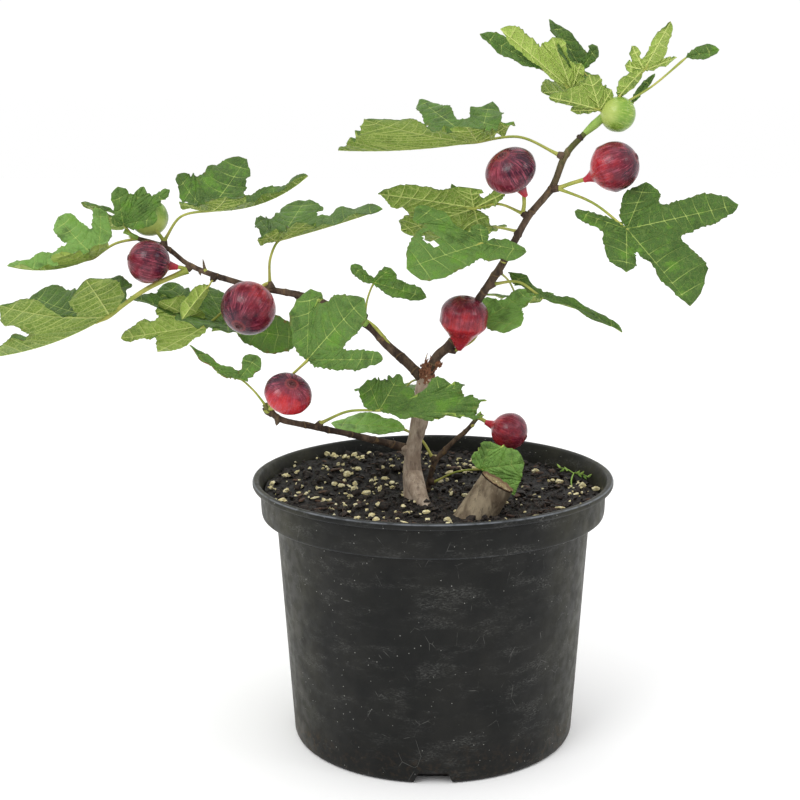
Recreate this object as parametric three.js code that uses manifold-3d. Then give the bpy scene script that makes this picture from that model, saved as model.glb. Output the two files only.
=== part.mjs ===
// A young fig tree with ripe fruit, standing in a round nursery pot.
// Millimetres, +Z up. The origin is the middle of the pot's flat underside, and -Y is the front.
//
// A direction is written [turn, back] in degrees: turn goes from +X (right) up towards +Z,
// and back leans it away towards +Y. A stalk or a blade is [length, turn, back].

import * as THREE from "three";
import { mergeVertices } from "three/addons/utils/BufferGeometryUtils.js";
import Module from "manifold-3d";

const wasm = await Module();
wasm.setup();

// ---------------------------------------------------------------- driving dimensions

const GAP = 0.3; // between two solids that touch

const POT = {
  height: 206,
  footRadius: 110,
  waistRadius: 122, // under the collar
  collarRadius: 133.5,
  rimRadius: 140,
  rimDepth: 5,
  collarDepth: 28,
  wall: 2.2,
  sides: 48,
  notches: 4,
  notchWidth: 28,
  notchHeight: 9,
};

const SOIL_LEVEL = 186;
const SOIL = { rings: 5, roughness: 2.5, flatRadius: 80, seed: 5 };

const LEAF_THICKNESS = 1.6;
const RUNG_PLACES = [0, 0.4, 0.64, 0.85, 1]; // along a lobe's own line
const STALK = { foot: 1.9, tip: 1.2, sides: 4, steps: 4, sink: 0.12 };
const SPUR = { foot: 3.4, tip: 2.3, sides: 6, steps: 2 };
const FIG = { sides: 10, rows: 8, stalkRadius: 1.8, neckRadius: 2, shoulder: 0.6, bend: 1.2, blend: 8,
  stalkSides: 4, stalkSteps: 2 };

// Every limb runs through its points; radii are spread evenly along it, from foot to tip.
const LIMBS = {
  trunk: {
    points: [[-12, 0, 176], [-16, 0, 205], [-15, 0, 228], [-10, 0, 250], [-6, 0, 275], [-4, 0, 293]],
    radii: [11.5, 8.6, 7, 5.8, 6.8, 7.6, 4.5],
    sides: 14,
    steps: 16,
    standsInSoil: true,
  },
  cut_stump: {
    points: [[27, -42, 176], [48, -42, 210]],
    radii: [14.5, 13.4],
    sides: 16,
    steps: 3,
    standsInSoil: true,
  },
  shoot_right: {
    points: [[-6, 16, 178], [-2, 17, 200], [3, 18, 213], [16, 21, 227], [27, 24, 236], [35, 27, 245]],
    radii: [2.5, 2, 2, 1.7],
    sides: 8,
    steps: 12,
    standsInSoil: true,
  },
  bough_left: {
    points: [[-6, 0, 278], [-18, 2, 292], [-35, 10, 306], [-49, 14, 320], [-72, 20, 332],
      [-103, 25, 343], [-146, 31, 350.6], [-187, 35.5, 363.8], [-209, 39, 379], [-231, 40, 386]],
    radii: [3.9, 3.2, 2.5, 2.1, 1.8],
    sides: 9,
    steps: 26,
    growsFrom: "trunk",
  },
  bough_right: {
    points: [[-6, 0, 280], [3, -1, 299], [15, -3, 311], [35, -9, 345], [52, -13, 372],
      [70, -17, 406], [88, -19, 429], [97, -20, 452], [111, -20, 468]],
    radii: [4, 3.3, 2.8, 2.6, 2.2],
    sides: 9,
    steps: 22,
    growsFrom: "trunk",
  },
  branch_low_left: {
    points: [[-13, 3, 221], [-24, -1, 228], [-56, -22, 241], [-90, -36, 252], [-112, -45, 259],
      [-121, -50, 267]],
    radii: [3.8, 2.8, 2.3, 2.3, 2.4],
    sides: 8,
    steps: 16,
    growsFrom: "trunk",
  },
};

// The outline of a blade: its lobes, each [turn from the midrib, reach, half width], with a second
// half width where the two sides differ, and how far the notch between two lobes stands from the
// stalk, with its own turn where it isn't halfway. All but the turns are shares of the length. An
// outline marked own belongs to one leaf and is followed as it is, the others sway from leaf to leaf.
const OUTLINES = {
  five: { lobes: [[-104, 0.5, 0.17], [-52, 0.84, 0.2], [0, 1, 0.22], [52, 0.84, 0.2], [104, 0.5, 0.17]],
    notches: [0.4, 0.42, 0.42, 0.4] },
  three: { lobes: [[-62, 0.7, 0.24], [0, 1, 0.28], [62, 0.7, 0.24]], notches: [0.54, 0.54] },
  whole: { lobes: [[0, 1, 0.34]], notches: [] },
  leaf_1: { lobes: [[-128, 0.72, 0.16], [-75, 0.8, 0.24], [0, 1, 0.17], [57, 0.9, 0.2],
    [105, 0.5, 0.18]],
    notches: [[-109, 0.42], [-52, 0.42], [28, 0.5], [82, 0.42]], own: true },
  leaf_2: { lobes: [[-104, 0.5, 0.2], [-50, 0.93, 0.24], [0, 1, 0.24], [50, 0.97, 0.22],
    [97, 0.62, 0.22]],
    notches: [[-78, 0.5], [-24, 0.66], [24, 0.62], [54, 0.31]], own: true },
  leaf_4: { lobes: [[-100, 0.4, 0.16], [-50, 0.62, 0.22], [0, 1, 0.17], [70, 0.67, 0.13, 0.26],
    [141, 0.54, 0.1]],
    notches: [0.36, [-24, 0.5], [33, 0.35], [121, 0.44]], own: true },
  leaf_3: { lobes: [[-50, 0.88, 0.2], [-26, 1.38, 0.14], [0, 1, 0.13], [36, 0.86, 0.2],
    [100, 0.3, 0.12]],
    notches: [[-33, 1.05], [-17, 0.95], [12, 0.73], [70, 0.3]], own: true },
  blade: { lobes: [[0, 1, 0.13]], notches: [], own: true },
  leaf_7: { lobes: [[-54, 0.72, 0.15], [-26, 0.88, 0.2], [0, 1, 0.17], [50, 0.6, 0.2],
    [104, 0.4, 0.17]],
    notches: [[-41, 0.56], [-12, 0.72], 0.42, 0.36], own: true },
  leaf_5: { lobes: [[-106, 0.3, 0.14], [-45, 0.42, 0.2], [0, 1, 0.1, 0.27], [64, 0.76, 0.24],
    [104, 0.62, 0.1]],
    notches: [0.24, [-20, 0.36], [35, 0.5], [93, 0.48]], own: true },
  leaf_6: { lobes: [[-47, 1.05, 0.14], [0, 1, 0.27, 0.2], [44, 0.84, 0.2, 0.28]],
    notches: [[-31, 0.5], [33, 0.68]], own: true },
  leaf_9: { lobes: [[-104, 0.55, 0.24, 0.26], [0, 1, 0.1, 0.16], [60, 0.45, 0.2], [110, 0.3, 0.14]],
    notches: [[-60, 0.16], 0.36, 0.28], own: true },
  leaf_10: { lobes: [[0, 1, 0.2, 0.15], [62, 0.4, 0.16], [158, 0.58, 0.13]],
    notches: [[30, 0.4], [112, 0.1]], own: true },
  leaf_11: { lobes: [[-95, 0.4, 0.16], [-33, 1.02, 0.17], [0, 1, 0.13], [84, 0.24, 0.2],
    [142, 0.42, 0.08]],
    notches: [[-60, 0.45], [-18, 0.75], [40, 0.3], [118, 0.17]], own: true },
  leaf_12: { lobes: [[-102, 0.26, 0.11], [-50, 0.93, 0.19, 0.2], [0, 1, 0.26, 0.33], [150, 0.54, 0.13]],
    notches: [[-62, 0.2], [-36, 0.74], [60, 0.22]], own: true },
  leaf_13: { lobes: [[-94, 0.5, 0.15], [-53, 0.92, 0.12, 0.1], [0, 1, 0.14, 0.2],
    [44, 0.88, 0.2, 0.24], [92, 0.33, 0.15], [140, 0.42, 0.06]],
    notches: [[-69, 0.36], [-36, 0.5], [20, 0.84], [62, 0.38], [121, 0.22]], own: true },
  leaf_21: { lobes: [[-130, 0.16, 0.06], [0, 1, 0.1], [150, 0.5, 0.07]],
    notches: [[-80, 0.08], [80, 0.07]], own: true },
  leaf_22: { lobes: [[-58, 0.72, 0.22], [0, 1, 0.17], [50, 0.42, 0.16]],
    notches: [[-28, 0.64], [24, 0.42]], own: true },
  leaf_23: { lobes: [[-24, 0.59, 0.04, 0.05], [-13, 0.97, 0.06, 0.03], [-2, 0.99, 0.03, 0.06],
    [12, 0.8, 0.06, 0.09], [18, 0.68, 0.02, 0.22], [68, 0.42, 0.03, 0.06], [112, 0.39, 0.07, 0.15]],
    notches: [[-14, 0.72], [-7, 0.92], [5, 0.76], [15, 0.68], [19.5, 0.33], [92, 0.34]], own: true },
  leaf_25: { lobes: [[0, 1, 0.06, 0.3], [45, 1, 0.3], [108, 0.66, 0.25], [150, 0.42, 0.14]],
    notches: [[24, 0.96], [80, 0.74], [132, 0.5]], own: true },
  leaf_15: { lobes: [[-72, 0.55, 0.15], [0, 1, 0.11, 0.2], [45, 0.7, 0.2]],
    notches: [[-54, 0.33], [26, 0.6]], own: true },
  leaf_14: { lobes: [[0, 1.03, 0.19, 0.15]], notches: [], own: true },
  leaf_51: { lobes: [[-1, 1, 0.07, 0.21], [28, 0.6, 0.12, 0.15], [66, 0.31, 0.08, 0.1]],
    notches: [[13, 0.57], [50, 0.3]], own: true },
  leaf_16: { lobes: [[-25, 0.5, 0.12], [0, 1, 0.12], [52, 0.66, 0.2], [100, 0.4, 0.14]],
    notches: [[-14, 0.45], [30, 0.6], [78, 0.42]], own: true },
  leaf_18: { lobes: [[-105, 0.32, 0.1], [-60, 0.42, 0.1], [0, 0.8, 0.1, 0.17], [52, 0.7, 0.07]],
    notches: [[-85, 0.24], [-40, 0.17], [42, 0.4]], own: true },
  leaf_49: { lobes: [[0, 1, 0.3]], notches: [], own: true },
  leaf_47: { lobes: [[-26, 0.74, 0.13, 0.1], [0, 1, 0.1, 0.16], [40, 0.6, 0.2]],
    notches: [[-8, 0.62], [22, 0.55]], own: true },
  leaf_20: { lobes: [[-154, 0.5, 0.07], [-45, 0.46, 0.13, 0.1], [-7, 0.93, 0.06, 0.36],
    [60, 1.02, 0.13, 0.19], [116, 0.52, 0.16]],
    notches: [[-120, 0.22], [-24, 0.25], [38, 0.49], [88, 0.4]], own: true },
};

// Each mass of foliage stands on a limb, at a share of its length. Its stem is a short spur on the
// limb's side, or the growing tip that carries on from its end. A leaf's look is where its upper
// face turns; fold lifts both halves, curl bends the tip down, cup bends the margins down.
const FOLIAGE = {
  spray_left_inner: { limb: "bough_left", at: 0.27, stem: [4, 60, -20], leaves: [
    { stalk: [28, 74, -15], bow: 2, blade: [44, 347, -20], look: [95, -50], outline: "leaf_10",
      fold: 10, curl: 0, seed: 10 },
  ] },
  spray_left_middle: { limb: "bough_left", at: 0.56, stem: [4, 110, 20], leaves: [
    { stalk: [35, 80, 20], bow: 6, blade: [86, 14, 5], look: [95, 0], outline: "leaf_5", fold: 24,
      curl: -5, seed: 5 },
    { stalk: [60, 224, 28], bow: 3, blade: [82, 167, 5], look: [85, -14], outline: "leaf_7", fold: 20,
      curl: -6, cup: 0.2, seed: 7 },
    { stalk: [62, 232, 32], bow: 2, blade: [54, 353, 10], look: [60, -60], outline: "whole", fold: 10,
      curl: 20, seed: 8 },
    { stalk: [73, 214, 25], bow: 3, blade: [71, 189, 0], look: [100, 60], outline: "leaf_47", fold: 10,
      curl: 0, seed: 47 },
  ], figs: [
    { stalk: [9, 201, -22.5], hang: [243, -48], radius: 21, neck: 0.15, ripe: true },
  ] },
  spray_left_back: { limb: "bough_left", at: 0.48, stem: [3, 270, 60], leaves: [
    { stalk: [90, 250, 62], bow: -2, blade: [66, 195, 60], look: [90, 10], outline: "three", fold: 10,
      curl: 15, seed: 41 },
  ] },
  spray_left_small: { limb: "bough_left", at: 0.74, stem: [3, 250, -40], leaves: [
    { stalk: [6, 235, -40], bow: 0, blade: [34, 228, -15], look: [120, 50], outline: "leaf_49",
      fold: 20, curl: 10, seed: 17 },
  ] },
  spray_left_outer: { limb: "bough_left", at: 0.82, stem: [3, 240, -10], leaves: [
    { stalk: [70, 209, -10], bow: 3, blade: [106, 212, -8], look: [95, 4], outline: "leaf_2", fold: 30,
      curl: -28, seed: 2 },
  ], figs: [
    { stalk: [8.4, 160, -24.6], hang: [166, -20], radius: 16.6, neck: 0.45, ripe: true },
  ] },
  spray_left_high: { limb: "bough_left", at: 0.92, stem: [3, 80, -10], leaves: [
    { stalk: [46, 34, -15], bow: 8, blade: [90, 358, -12], look: [95, -14], outline: "leaf_4", fold: 30,
      curl: -42, seed: 4 },
  ], figs: [
    { stalk: [12, 124, -20], hang: [124, 45], radius: 14.8, neck: 0.05, ripe: false },
  ] },
  crown_left: { limb: "bough_left", at: 1, stem: [12, 150, 0], leaves: [
    { stalk: [36, 202, -15], bow: 3, blade: [68, 207, -15], look: [95, -14], outline: "leaf_1",
      fold: 32, curl: -45, seed: 1, along: 0 },
    { stalk: [13.5, 118, -40], bow: 0, blade: [34, 61, -8], look: [100, -75], outline: "leaf_3",
      fold: 10, curl: 15, seed: 3, along: 0.4 },
    { stalk: [16, 118, 10], bow: 0, blade: [31, 158, 10], look: [90, -10], outline: "blade", fold: 30,
      curl: 10, seed: 13, along: 0.6 },
    { stalk: [30, 150, 66], bow: 2, blade: [50, 190, 66], look: [80, 25], outline: "three", fold: 15,
      curl: 15, seed: 46, along: 0.8 },
  ] },
  spray_right_foot: { limb: "bough_right", at: 0.14, stem: [4, 340, 10], leaves: [
    { stalk: [34, 43, 20], bow: -5, blade: [46, 34, 10], look: [100, -45], outline: "leaf_22", fold: 15,
      curl: 10, seed: 22 },
  ], figs: [
    { stalk: [5, 20, -45], hang: [82, -12], radius: 18.3, shoulder: 1.1, bend: 1.05, neck: 0.45,
      ripe: true },
  ] },
  spray_right_back: { limb: "bough_right", at: 0.46, stem: [3, 330, 60], leaves: [
    { stalk: [62, 302, 60], bow: 3, blade: [46, 340, 72], look: [90, 5], outline: "three", fold: 8,
      curl: 12, seed: 42 },
  ] },
  spray_right_low: { limb: "bough_right", at: 0.4, stem: [3, 20, -10], leaves: [
    { stalk: [37, 348, -20], bow: 6, blade: [67, 346, -13], look: [75, -25], outline: "leaf_21",
      fold: 25, curl: 20, seed: 21 },
  ] },
  spray_right_front: { limb: "bough_right", at: 0.51, stem: [3, 140, -60], leaves: [
    { stalk: [28, 142, -45], bow: 3, blade: [61, 194, -22], look: [100, -60], outline: "leaf_12",
      fold: 5, curl: 10, seed: 12 },
  ] },
  spray_right_middle: { limb: "bough_right", at: 0.67, stem: [3, 150, 0], leaves: [
    { stalk: [42, 176, 32], bow: 5, blade: [78, 171, 20], look: [100, 52], outline: "leaf_11", fold: 5,
      curl: 5, seed: 11 },
  ], figs: [
    { stalk: [13.9, 83, -17], hang: [122, -28], radius: 19, squat: 0.8, neck: 0.4, ripe: true },
  ] },
  spray_right_far: { limb: "bough_right", at: 0.6, stem: [3, 60, 60], leaves: [
    { stalk: [80, 187, 62], bow: 3, blade: [66, 196, 62], look: [90, 10], outline: "five", fold: 10,
      curl: 10, seed: 43 },
  ] },
  spray_right_outer: { limb: "bough_right", at: 0.79, stem: [3, 0, -20], leaves: [
    { stalk: [62, 330, -27], bow: 4, blade: [80, 318, -28], look: [80, -60], outline: "leaf_20",
      fold: 5, curl: 10, seed: 20 },
  ], figs: [
    { stalk: [20, 18, -10], hang: [26, -18], radius: 18.2, shoulder: 1.35, bend: 1.6, neck: 0.45,
      ripe: true },
  ] },
  spray_right_high: { limb: "bough_right", at: 0.9, stem: [3, 160, 10], leaves: [
    { stalk: [64, 171, 22], bow: 8, blade: [110, 190, 14], look: [95, -5], outline: "leaf_13", fold: 27,
      curl: -12, seed: 31 },
  ] },
  crown_right: { limb: "bough_right", at: 1, stem: [26, 42, -5], leaves: [
    { stalk: [58, 148, 8], bow: 4, blade: [51, 151, 8], look: [64, -60], outline: "leaf_14", fold: 12,
      curl: 0, seed: 14, along: 0.9 },
    { stalk: [38, 126, 12], bow: 2, blade: [42, 120, 0], look: [40, -45], outline: "leaf_15", fold: 20,
      curl: 10, seed: 15, along: 0.95 },
    { stalk: [7, 128, -30], bow: 1, blade: [42, 163, -15], look: [73, 60], outline: "leaf_16", fold: 20,
      curl: 15, seed: 16, along: 0.7 },
    { stalk: [37, 52, -12], bow: 3, blade: [48, 62, 0], look: [152, 60], outline: "leaf_18", fold: 15,
      curl: 0, seed: 18, along: 0.95 },
    { stalk: [12, 60, -15], bow: 0, blade: [26, 54, -10], look: [144, 60], outline: "whole", fold: 20,
      curl: 15, seed: 19, along: 0.9 },
    { stalk: [31, 149, 0], bow: 3, blade: [68, 138, 0], look: [46, 60], outline: "leaf_51", fold: 10,
      curl: 10, seed: 51, along: 0.85 },
    { stalk: [14, 75, 30], bow: 1, blade: [32, 135, 10], look: [50, -50], outline: "blade", fold: 10,
      curl: 10, seed: 48, along: 0.8 },
    { stalk: [65, 36, -12], bow: -3, blade: [24, 12, 0], look: [100, -50], outline: "leaf_49", fold: 15,
      curl: 0, seed: 49, along: 0.95 },
    { stalk: [20, 20, 20], bow: 1, blade: [28, 53, 5], look: [140, -50], outline: "blade", fold: 10,
      curl: 5, seed: 50, along: 0.85 },
    { stalk: [40, 130, 62], bow: 2, blade: [62, 160, 66], look: [70, 30], outline: "five", fold: 15,
      curl: 15, seed: 45, along: 0.8 },
  ], figs: [
    { stalk: [8, 147, -66], hang: [350, 30], radius: 13, neck: 0.05, ripe: false, along: 0.8 },
  ] },
  spray_trunk_back: { limb: "trunk", at: 0.86, stem: [3, 120, 60], leaves: [
    { stalk: [46, 226, 58], bow: 3, blade: [58, 185, 72], look: [90, 5], outline: "three", fold: 8,
      curl: 12, seed: 44 },
  ] },
  spray_low_middle: { limb: "branch_low_left", at: 0.68, stem: [3, 60, -20], leaves: [
    { stalk: [52, 18, -24], bow: 4, blade: [82, 8, -12], look: [92, -32], outline: "leaf_23", fold: 10,
      curl: 0, seed: 23 },
  ] },
  crown_low_left: { limb: "branch_low_left", at: 1, stem: [6, 120, -10], leaves: [
    { stalk: [50, 50, -12], bow: 2, blade: [62, 50, -8], look: [130, -60], outline: "leaf_6", fold: 5,
      curl: 10, seed: 6, along: 0.5 },
    { stalk: [28, 133, 8], bow: 1, blade: [45, 168, 10], look: [75, -18], outline: "leaf_9", fold: 25,
      curl: -45, seed: 9, along: 0.8 },
  ], figs: [
    { stalk: [13.8, 9, -30.5], hang: [68, -38], radius: 17.2, neck: 0.1, squat: 0.72, ripe: true,
      along: 0.3 },
  ] },
  spray_shoot_foot: { limb: "shoot_right", at: 0.22, stem: [3, 0, -30], leaves: [
    { stalk: [50, 26, -36], bow: 3, blade: [34, 322, 0], look: [70, -72], outline: "leaf_25", fold: 5,
      curl: 12, seed: 25 },
  ] },
  spray_shoot_back: { limb: "shoot_right", at: 0.42, stem: [3, 130, 20], leaves: [
    { stalk: [32, 137, 20], bow: 4, blade: [62, 176, 14], look: [90, -15], outline: "whole", fold: 5,
      curl: 5, seed: 24 },
  ] },
  spray_shoot_tip: { limb: "shoot_right", at: 1, stem: [5, 45, 0], leaves: [
  ], figs: [
    { stalk: [7.3, 332, -17], hang: [343, -20], radius: 14.6, neck: 0.5, ripe: true, along: 0.1 },
  ] },
};

// ---------------------------------------------------------------- small helpers

const radians = THREE.MathUtils.degToRad;
const lerp = THREE.MathUtils.lerp;
const UP = new THREE.Vector3(0, 0, 1);

function direction([turn, back]) {
  const flat = Math.cos(radians(back));
  const across = flat * Math.cos(radians(turn));
  const up = flat * Math.sin(radians(turn));
  return new THREE.Vector3(across, Math.sin(radians(back)), up);
}

const reach = ([length, turn, back]) => direction([turn, back]).multiplyScalar(length);

// A number from 0 to 1 that only depends on the seed and on which draw it is.
function chance(seed, draw) {
  const wave = Math.sin(seed * 12.9898 + draw * 78.233) * 43758.5453;
  return wave - Math.floor(wave);
}

const sway = (seed, draw, amount) => amount * (2 * chance(seed, draw) - 1);

function curveThrough(points) {
  const corners = points.map((point) => (point.isVector3 ? point : new THREE.Vector3(...point)));
  return new THREE.CatmullRomCurve3(corners, false, "catmullrom", 0.5);
}

// A value read from an evenly spread list, at a share of its length.
function readAlong(list, share) {
  const place = share * (list.length - 1);
  const before = Math.min(Math.floor(place), list.length - 2);
  return lerp(list[before], list[before + 1], place - before);
}

function geometryFrom(positions, triangles) {
  const geometry = new THREE.BufferGeometry();
  geometry.setAttribute("position", new THREE.Float32BufferAttribute(positions, 3));
  geometry.setIndex(triangles);
  return geometry;
}

function weld(geometry) {
  const bare = geometry.clone();
  for (const name of Object.keys(bare.attributes)) {
    if (name !== "position") {
      bare.deleteAttribute(name);
    }
  }
  return mergeVertices(bare, 1e-4);
}

function toSolid(geometry) {
  const welded = weld(geometry);
  const mesh = new wasm.Mesh({
    numProp: 3,
    vertProperties: new Float32Array(welded.attributes.position.array),
    triVerts: new Uint32Array(welded.index.array),
  });
  return new wasm.Manifold(mesh);
}

// The largest body of a solid, so that no loose scrap is left.
function toGeometry(solid) {
  const bodies = solid.decompose();
  bodies.sort((one, other) => other.volume() - one.volume());
  const mesh = bodies[0].getMesh();
  return geometryFrom(Array.from(mesh.vertProperties), Array.from(mesh.triVerts));
}

// ---------------------------------------------------------------- round stems

// A tapering tube: a cylinder whose rings are laid along the curve.
function tube(curve, radii, sides, steps, grown = 0) {
  const geometry = new THREE.CylinderGeometry(1, 1, 1, sides, steps);
  const frames = curve.computeFrenetFrames(steps, false);
  const position = geometry.attributes.position;
  const point = new THREE.Vector3();
  for (let index = 0; index < position.count; index += 1) {
    const share = position.getY(index) + 0.5;
    const ring = Math.round(share * steps);
    const radius = readAlong(radii, share) + grown;
    curve.getPointAt(share, point);
    point.addScaledVector(frames.tangents[ring], ring === 0 ? -grown : ring === steps ? grown : 0);
    point.addScaledVector(frames.normals[ring], radius * position.getX(index));
    point.addScaledVector(frames.binormals[ring], -radius * position.getZ(index));
    position.setXYZ(index, point.x, point.y, point.z);
  }
  return geometry;
}

function limbSolid(name, grown = 0) {
  const limb = LIMBS[name];
  return toSolid(tube(curveThrough(limb.points), limb.radii, limb.sides, limb.steps, grown));
}

// Everything below the ground level, which cuts a stem off flat.
function belowGround() {
  const block = new THREE.BoxGeometry(2 * POT.rimRadius, 2 * POT.rimRadius, SOIL_LEVEL);
  block.translate(0, 0, SOIL_LEVEL / 2 + GAP);
  return toSolid(block);
}

function limb(name) {
  const { standsInSoil, growsFrom } = LIMBS[name];
  let solid = limbSolid(name);
  if (standsInSoil) {
    solid = solid.subtract(belowGround());
  }
  if (growsFrom) {
    solid = solid.subtract(limbSolid(growsFrom, GAP));
  }
  return toGeometry(solid);
}

// ---------------------------------------------------------------- leaves

const onLine = (turn, far, wide = 0) => new THREE.Vector2(
  far * Math.cos(radians(turn)) - wide * Math.sin(radians(turn)),
  far * Math.sin(radians(turn)) + wide * Math.cos(radians(turn)),
);

// The lobes and the notches of one blade. A lobe's wide holds its half widths to both sides.
function lobesOf(outline, seed) {
  const loose = outline.own ? 0 : 1;
  const lobes = outline.lobes.map(([turn, far, wide, wideAfter = wide], index) => {
    const swell = 1 + loose * sway(seed, 10 * index + 3, 0.08);
    return {
      turn: turn === 0 ? 0 : turn + loose * sway(seed, 10 * index + 1, 4),
      far: turn === 0 ? far : far * (1 + loose * sway(seed, 10 * index + 2, 0.07)),
      wide: [wide * swell, wideAfter * swell],
      lift: turn === 0 ? 0 : sway(seed, 10 * index + 4, 0.05 + 0.11 * loose),
    };
  });
  const notches = outline.notches.map((notch, index) => {
    const halfway = (lobes[index].turn + lobes[index + 1].turn) / 2;
    const [turn, far] = Array.isArray(notch) ? notch : [halfway, notch];
    return onLine(turn, far * (1 + loose * sway(seed, 77 + index, 0.08)));
  });
  return { lobes, notches };
}

// The margin of half a lobe, from the notch (or the stalk) to the lobe's tip.
function halfMargin(lobe, side, notch) {
  const wide = lobe.wide[side < 0 ? 0 : 1];
  const across = (far, share) => onLine(lobe.turn, far * lobe.far, side * share * wide);
  const tip = across(1, 0);
  if (!notch) {
    return new THREE.CubicBezierCurve(new THREE.Vector2(), across(0.06, 0.85), across(0.8, 1.45), tip);
  }
  const outward = notch.clone().normalize();
  const inward = new THREE.Vector2(side * outward.y, -side * outward.x);
  const round = 0.55 * Math.min(wide, 0.16) + 0.02;
  const throat = notch.clone().addScaledVector(inward, round).addScaledVector(outward, 0.03);
  return new THREE.CubicBezierCurve(notch, throat, across(0.86, 1.55), tip);
}

// Rungs across half a lobe, each from the lobe's own line to its margin. Both halves of a lobe
// share the points on its line, and two lobes share the seam from the stalk to their notch.
function rungsOf(lobe, side, notch) {
  const margin = halfMargin(lobe, side, notch);
  const count = RUNG_PLACES.length - 1;
  return RUNG_PLACES.map((place, step) => {
    const line = onLine(lobe.turn, place * lobe.far);
    if (!notch) {
      return { line, edge: margin.getPoint(step / count) };
    }
    return { line, edge: step === 0 ? new THREE.Vector2() : margin.getPoint((step - 1) / (count - 1)) };
  });
}

// Bends a point of the flat blade: folded along the midrib, curled along it and cupped.
function settle(flat, lift, leaf) {
  const [length] = leaf.blade;
  const crease = 0.04;
  const spread = Math.sqrt(flat.y ** 2 + crease ** 2) - crease;
  const fold = radians(leaf.fold);
  const side = flat.y * Math.cos(fold);
  const height = spread * Math.sin(fold) + lift - (leaf.cup ?? 0) * flat.y ** 2;
  const bend = radians(leaf.curl) + 1e-4;
  const angle = bend * flat.x;
  const forward = (1 / bend + height) * Math.sin(angle);
  const raised = (1 / bend + height) * Math.cos(angle) - 1 / bend;
  return new THREE.Vector3(forward, side, raised).multiplyScalar(length);
}

// The middle surface of a blade as loose triangles, in its own frame: +X to the tip, +Z upper face.
function bladeSurface(leaf) {
  const { lobes, notches } = lobesOf(OUTLINES[leaf.outline], leaf.seed);
  const positions = [];
  const corner = (flat, lift) => positions.push(...settle(flat, lift, leaf).toArray());
  lobes.forEach((lobe, index) => {
    for (const side of [-1, 1]) {
      const notch = notches[side < 0 ? index - 1 : index];
      const rungs = rungsOf(lobe, side, notch);
      const rise = (flat) => lobe.lift * flat.length() ** 2;
      for (let step = 1; step < rungs.length; step += 1) {
        const near = rungs[step - 1];
        const next = rungs[step];
        const quad = side > 0
          ? [near.line, next.line, next.edge, near.line, next.edge, near.edge]
          : [near.line, next.edge, next.line, near.line, near.edge, next.edge];
        quad.forEach((flat) => corner(flat, seamRise(flat, notches, rise)));
      }
    }
  });
  const triangles = Array.from({ length: positions.length / 3 }, (_, index) => index);
  return dropSlivers(weld(geometryFrom(positions, triangles)));
}

// Lobes rise by themselves, but meet level at the notches between them.
function seamRise(flat, notches, rise) {
  const onSeam = notches.some((notch) => flat.distanceTo(notch) < 1e-6);
  return onSeam ? 0 : rise(flat);
}

function dropSlivers(geometry) {
  const index = geometry.index.array;
  const kept = [];
  for (let at = 0; at < index.length; at += 3) {
    const [a, b, c] = [index[at], index[at + 1], index[at + 2]];
    if (a !== b && b !== c && c !== a) {
      kept.push(a, b, c);
    }
  }
  geometry.setIndex(kept);
  return geometry;
}

// Closes a surface into a thin solid: an upper face, a lower face and a rim.
function thicken(surface, thickness) {
  surface.computeVertexNormals();
  const { position, normal } = surface.attributes;
  const index = Array.from(surface.index.array);
  const count = position.count;
  const positions = [];
  for (const side of [0.5, -0.5]) {
    for (let vertex = 0; vertex < count; vertex += 1) {
      positions.push(
        position.getX(vertex) + side * thickness * normal.getX(vertex),
        position.getY(vertex) + side * thickness * normal.getY(vertex),
        position.getZ(vertex) + side * thickness * normal.getZ(vertex),
      );
    }
  }
  const triangles = [...index];
  const edges = new Set();
  for (let at = 0; at < index.length; at += 3) {
    const [a, b, c] = index.slice(at, at + 3);
    triangles.push(a + count, c + count, b + count);
    edges.add(`${a},${b}`).add(`${b},${c}`).add(`${c},${a}`);
  }
  for (const edge of edges) {
    const [from, to] = edge.split(",").map(Number);
    if (!edges.has(`${to},${from}`)) {
      triangles.push(from, from + count, to + count, from, to + count, to);
    }
  }
  return geometryFrom(positions, triangles);
}

function bladeFrame(leaf, base) {
  const [, turn, back] = leaf.blade;
  const ahead = direction([turn, back]);
  const upper = direction(leaf.look);
  upper.addScaledVector(ahead, -upper.dot(ahead)).normalize();
  const side = new THREE.Vector3().crossVectors(upper, ahead);
  return new THREE.Matrix4().makeBasis(ahead, side, upper).setPosition(base);
}

// A leaf is its stalk, bowed like a thin rod, and its blade, with the stalk's end sunk in it.
function leafSolid(leaf, root) {
  const base = root.clone().add(reach(leaf.stalk));
  const frame = bladeFrame(leaf, base);
  const blade = thicken(bladeSurface(leaf), LEAF_THICKNESS).applyMatrix4(frame);

  const chord = base.clone().sub(root).normalize();
  const sideways = UP.clone().addScaledVector(chord, -UP.dot(chord)).normalize();
  const middle = root.clone().lerp(base, 0.5).addScaledVector(sideways, leaf.bow);
  const along = (share) => {
    const point = settle(new THREE.Vector2(share, 0), 0, leaf);
    point.z -= 0.5 * LEAF_THICKNESS;
    return point.applyMatrix4(frame);
  };
  const curve = curveThrough([root, middle, along(0), along(STALK.sink)]);
  const stalk = tube(curve, [STALK.foot, STALK.tip], STALK.sides, STALK.steps);
  return toSolid(blade).add(toSolid(stalk));
}

// ---------------------------------------------------------------- figs

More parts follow.
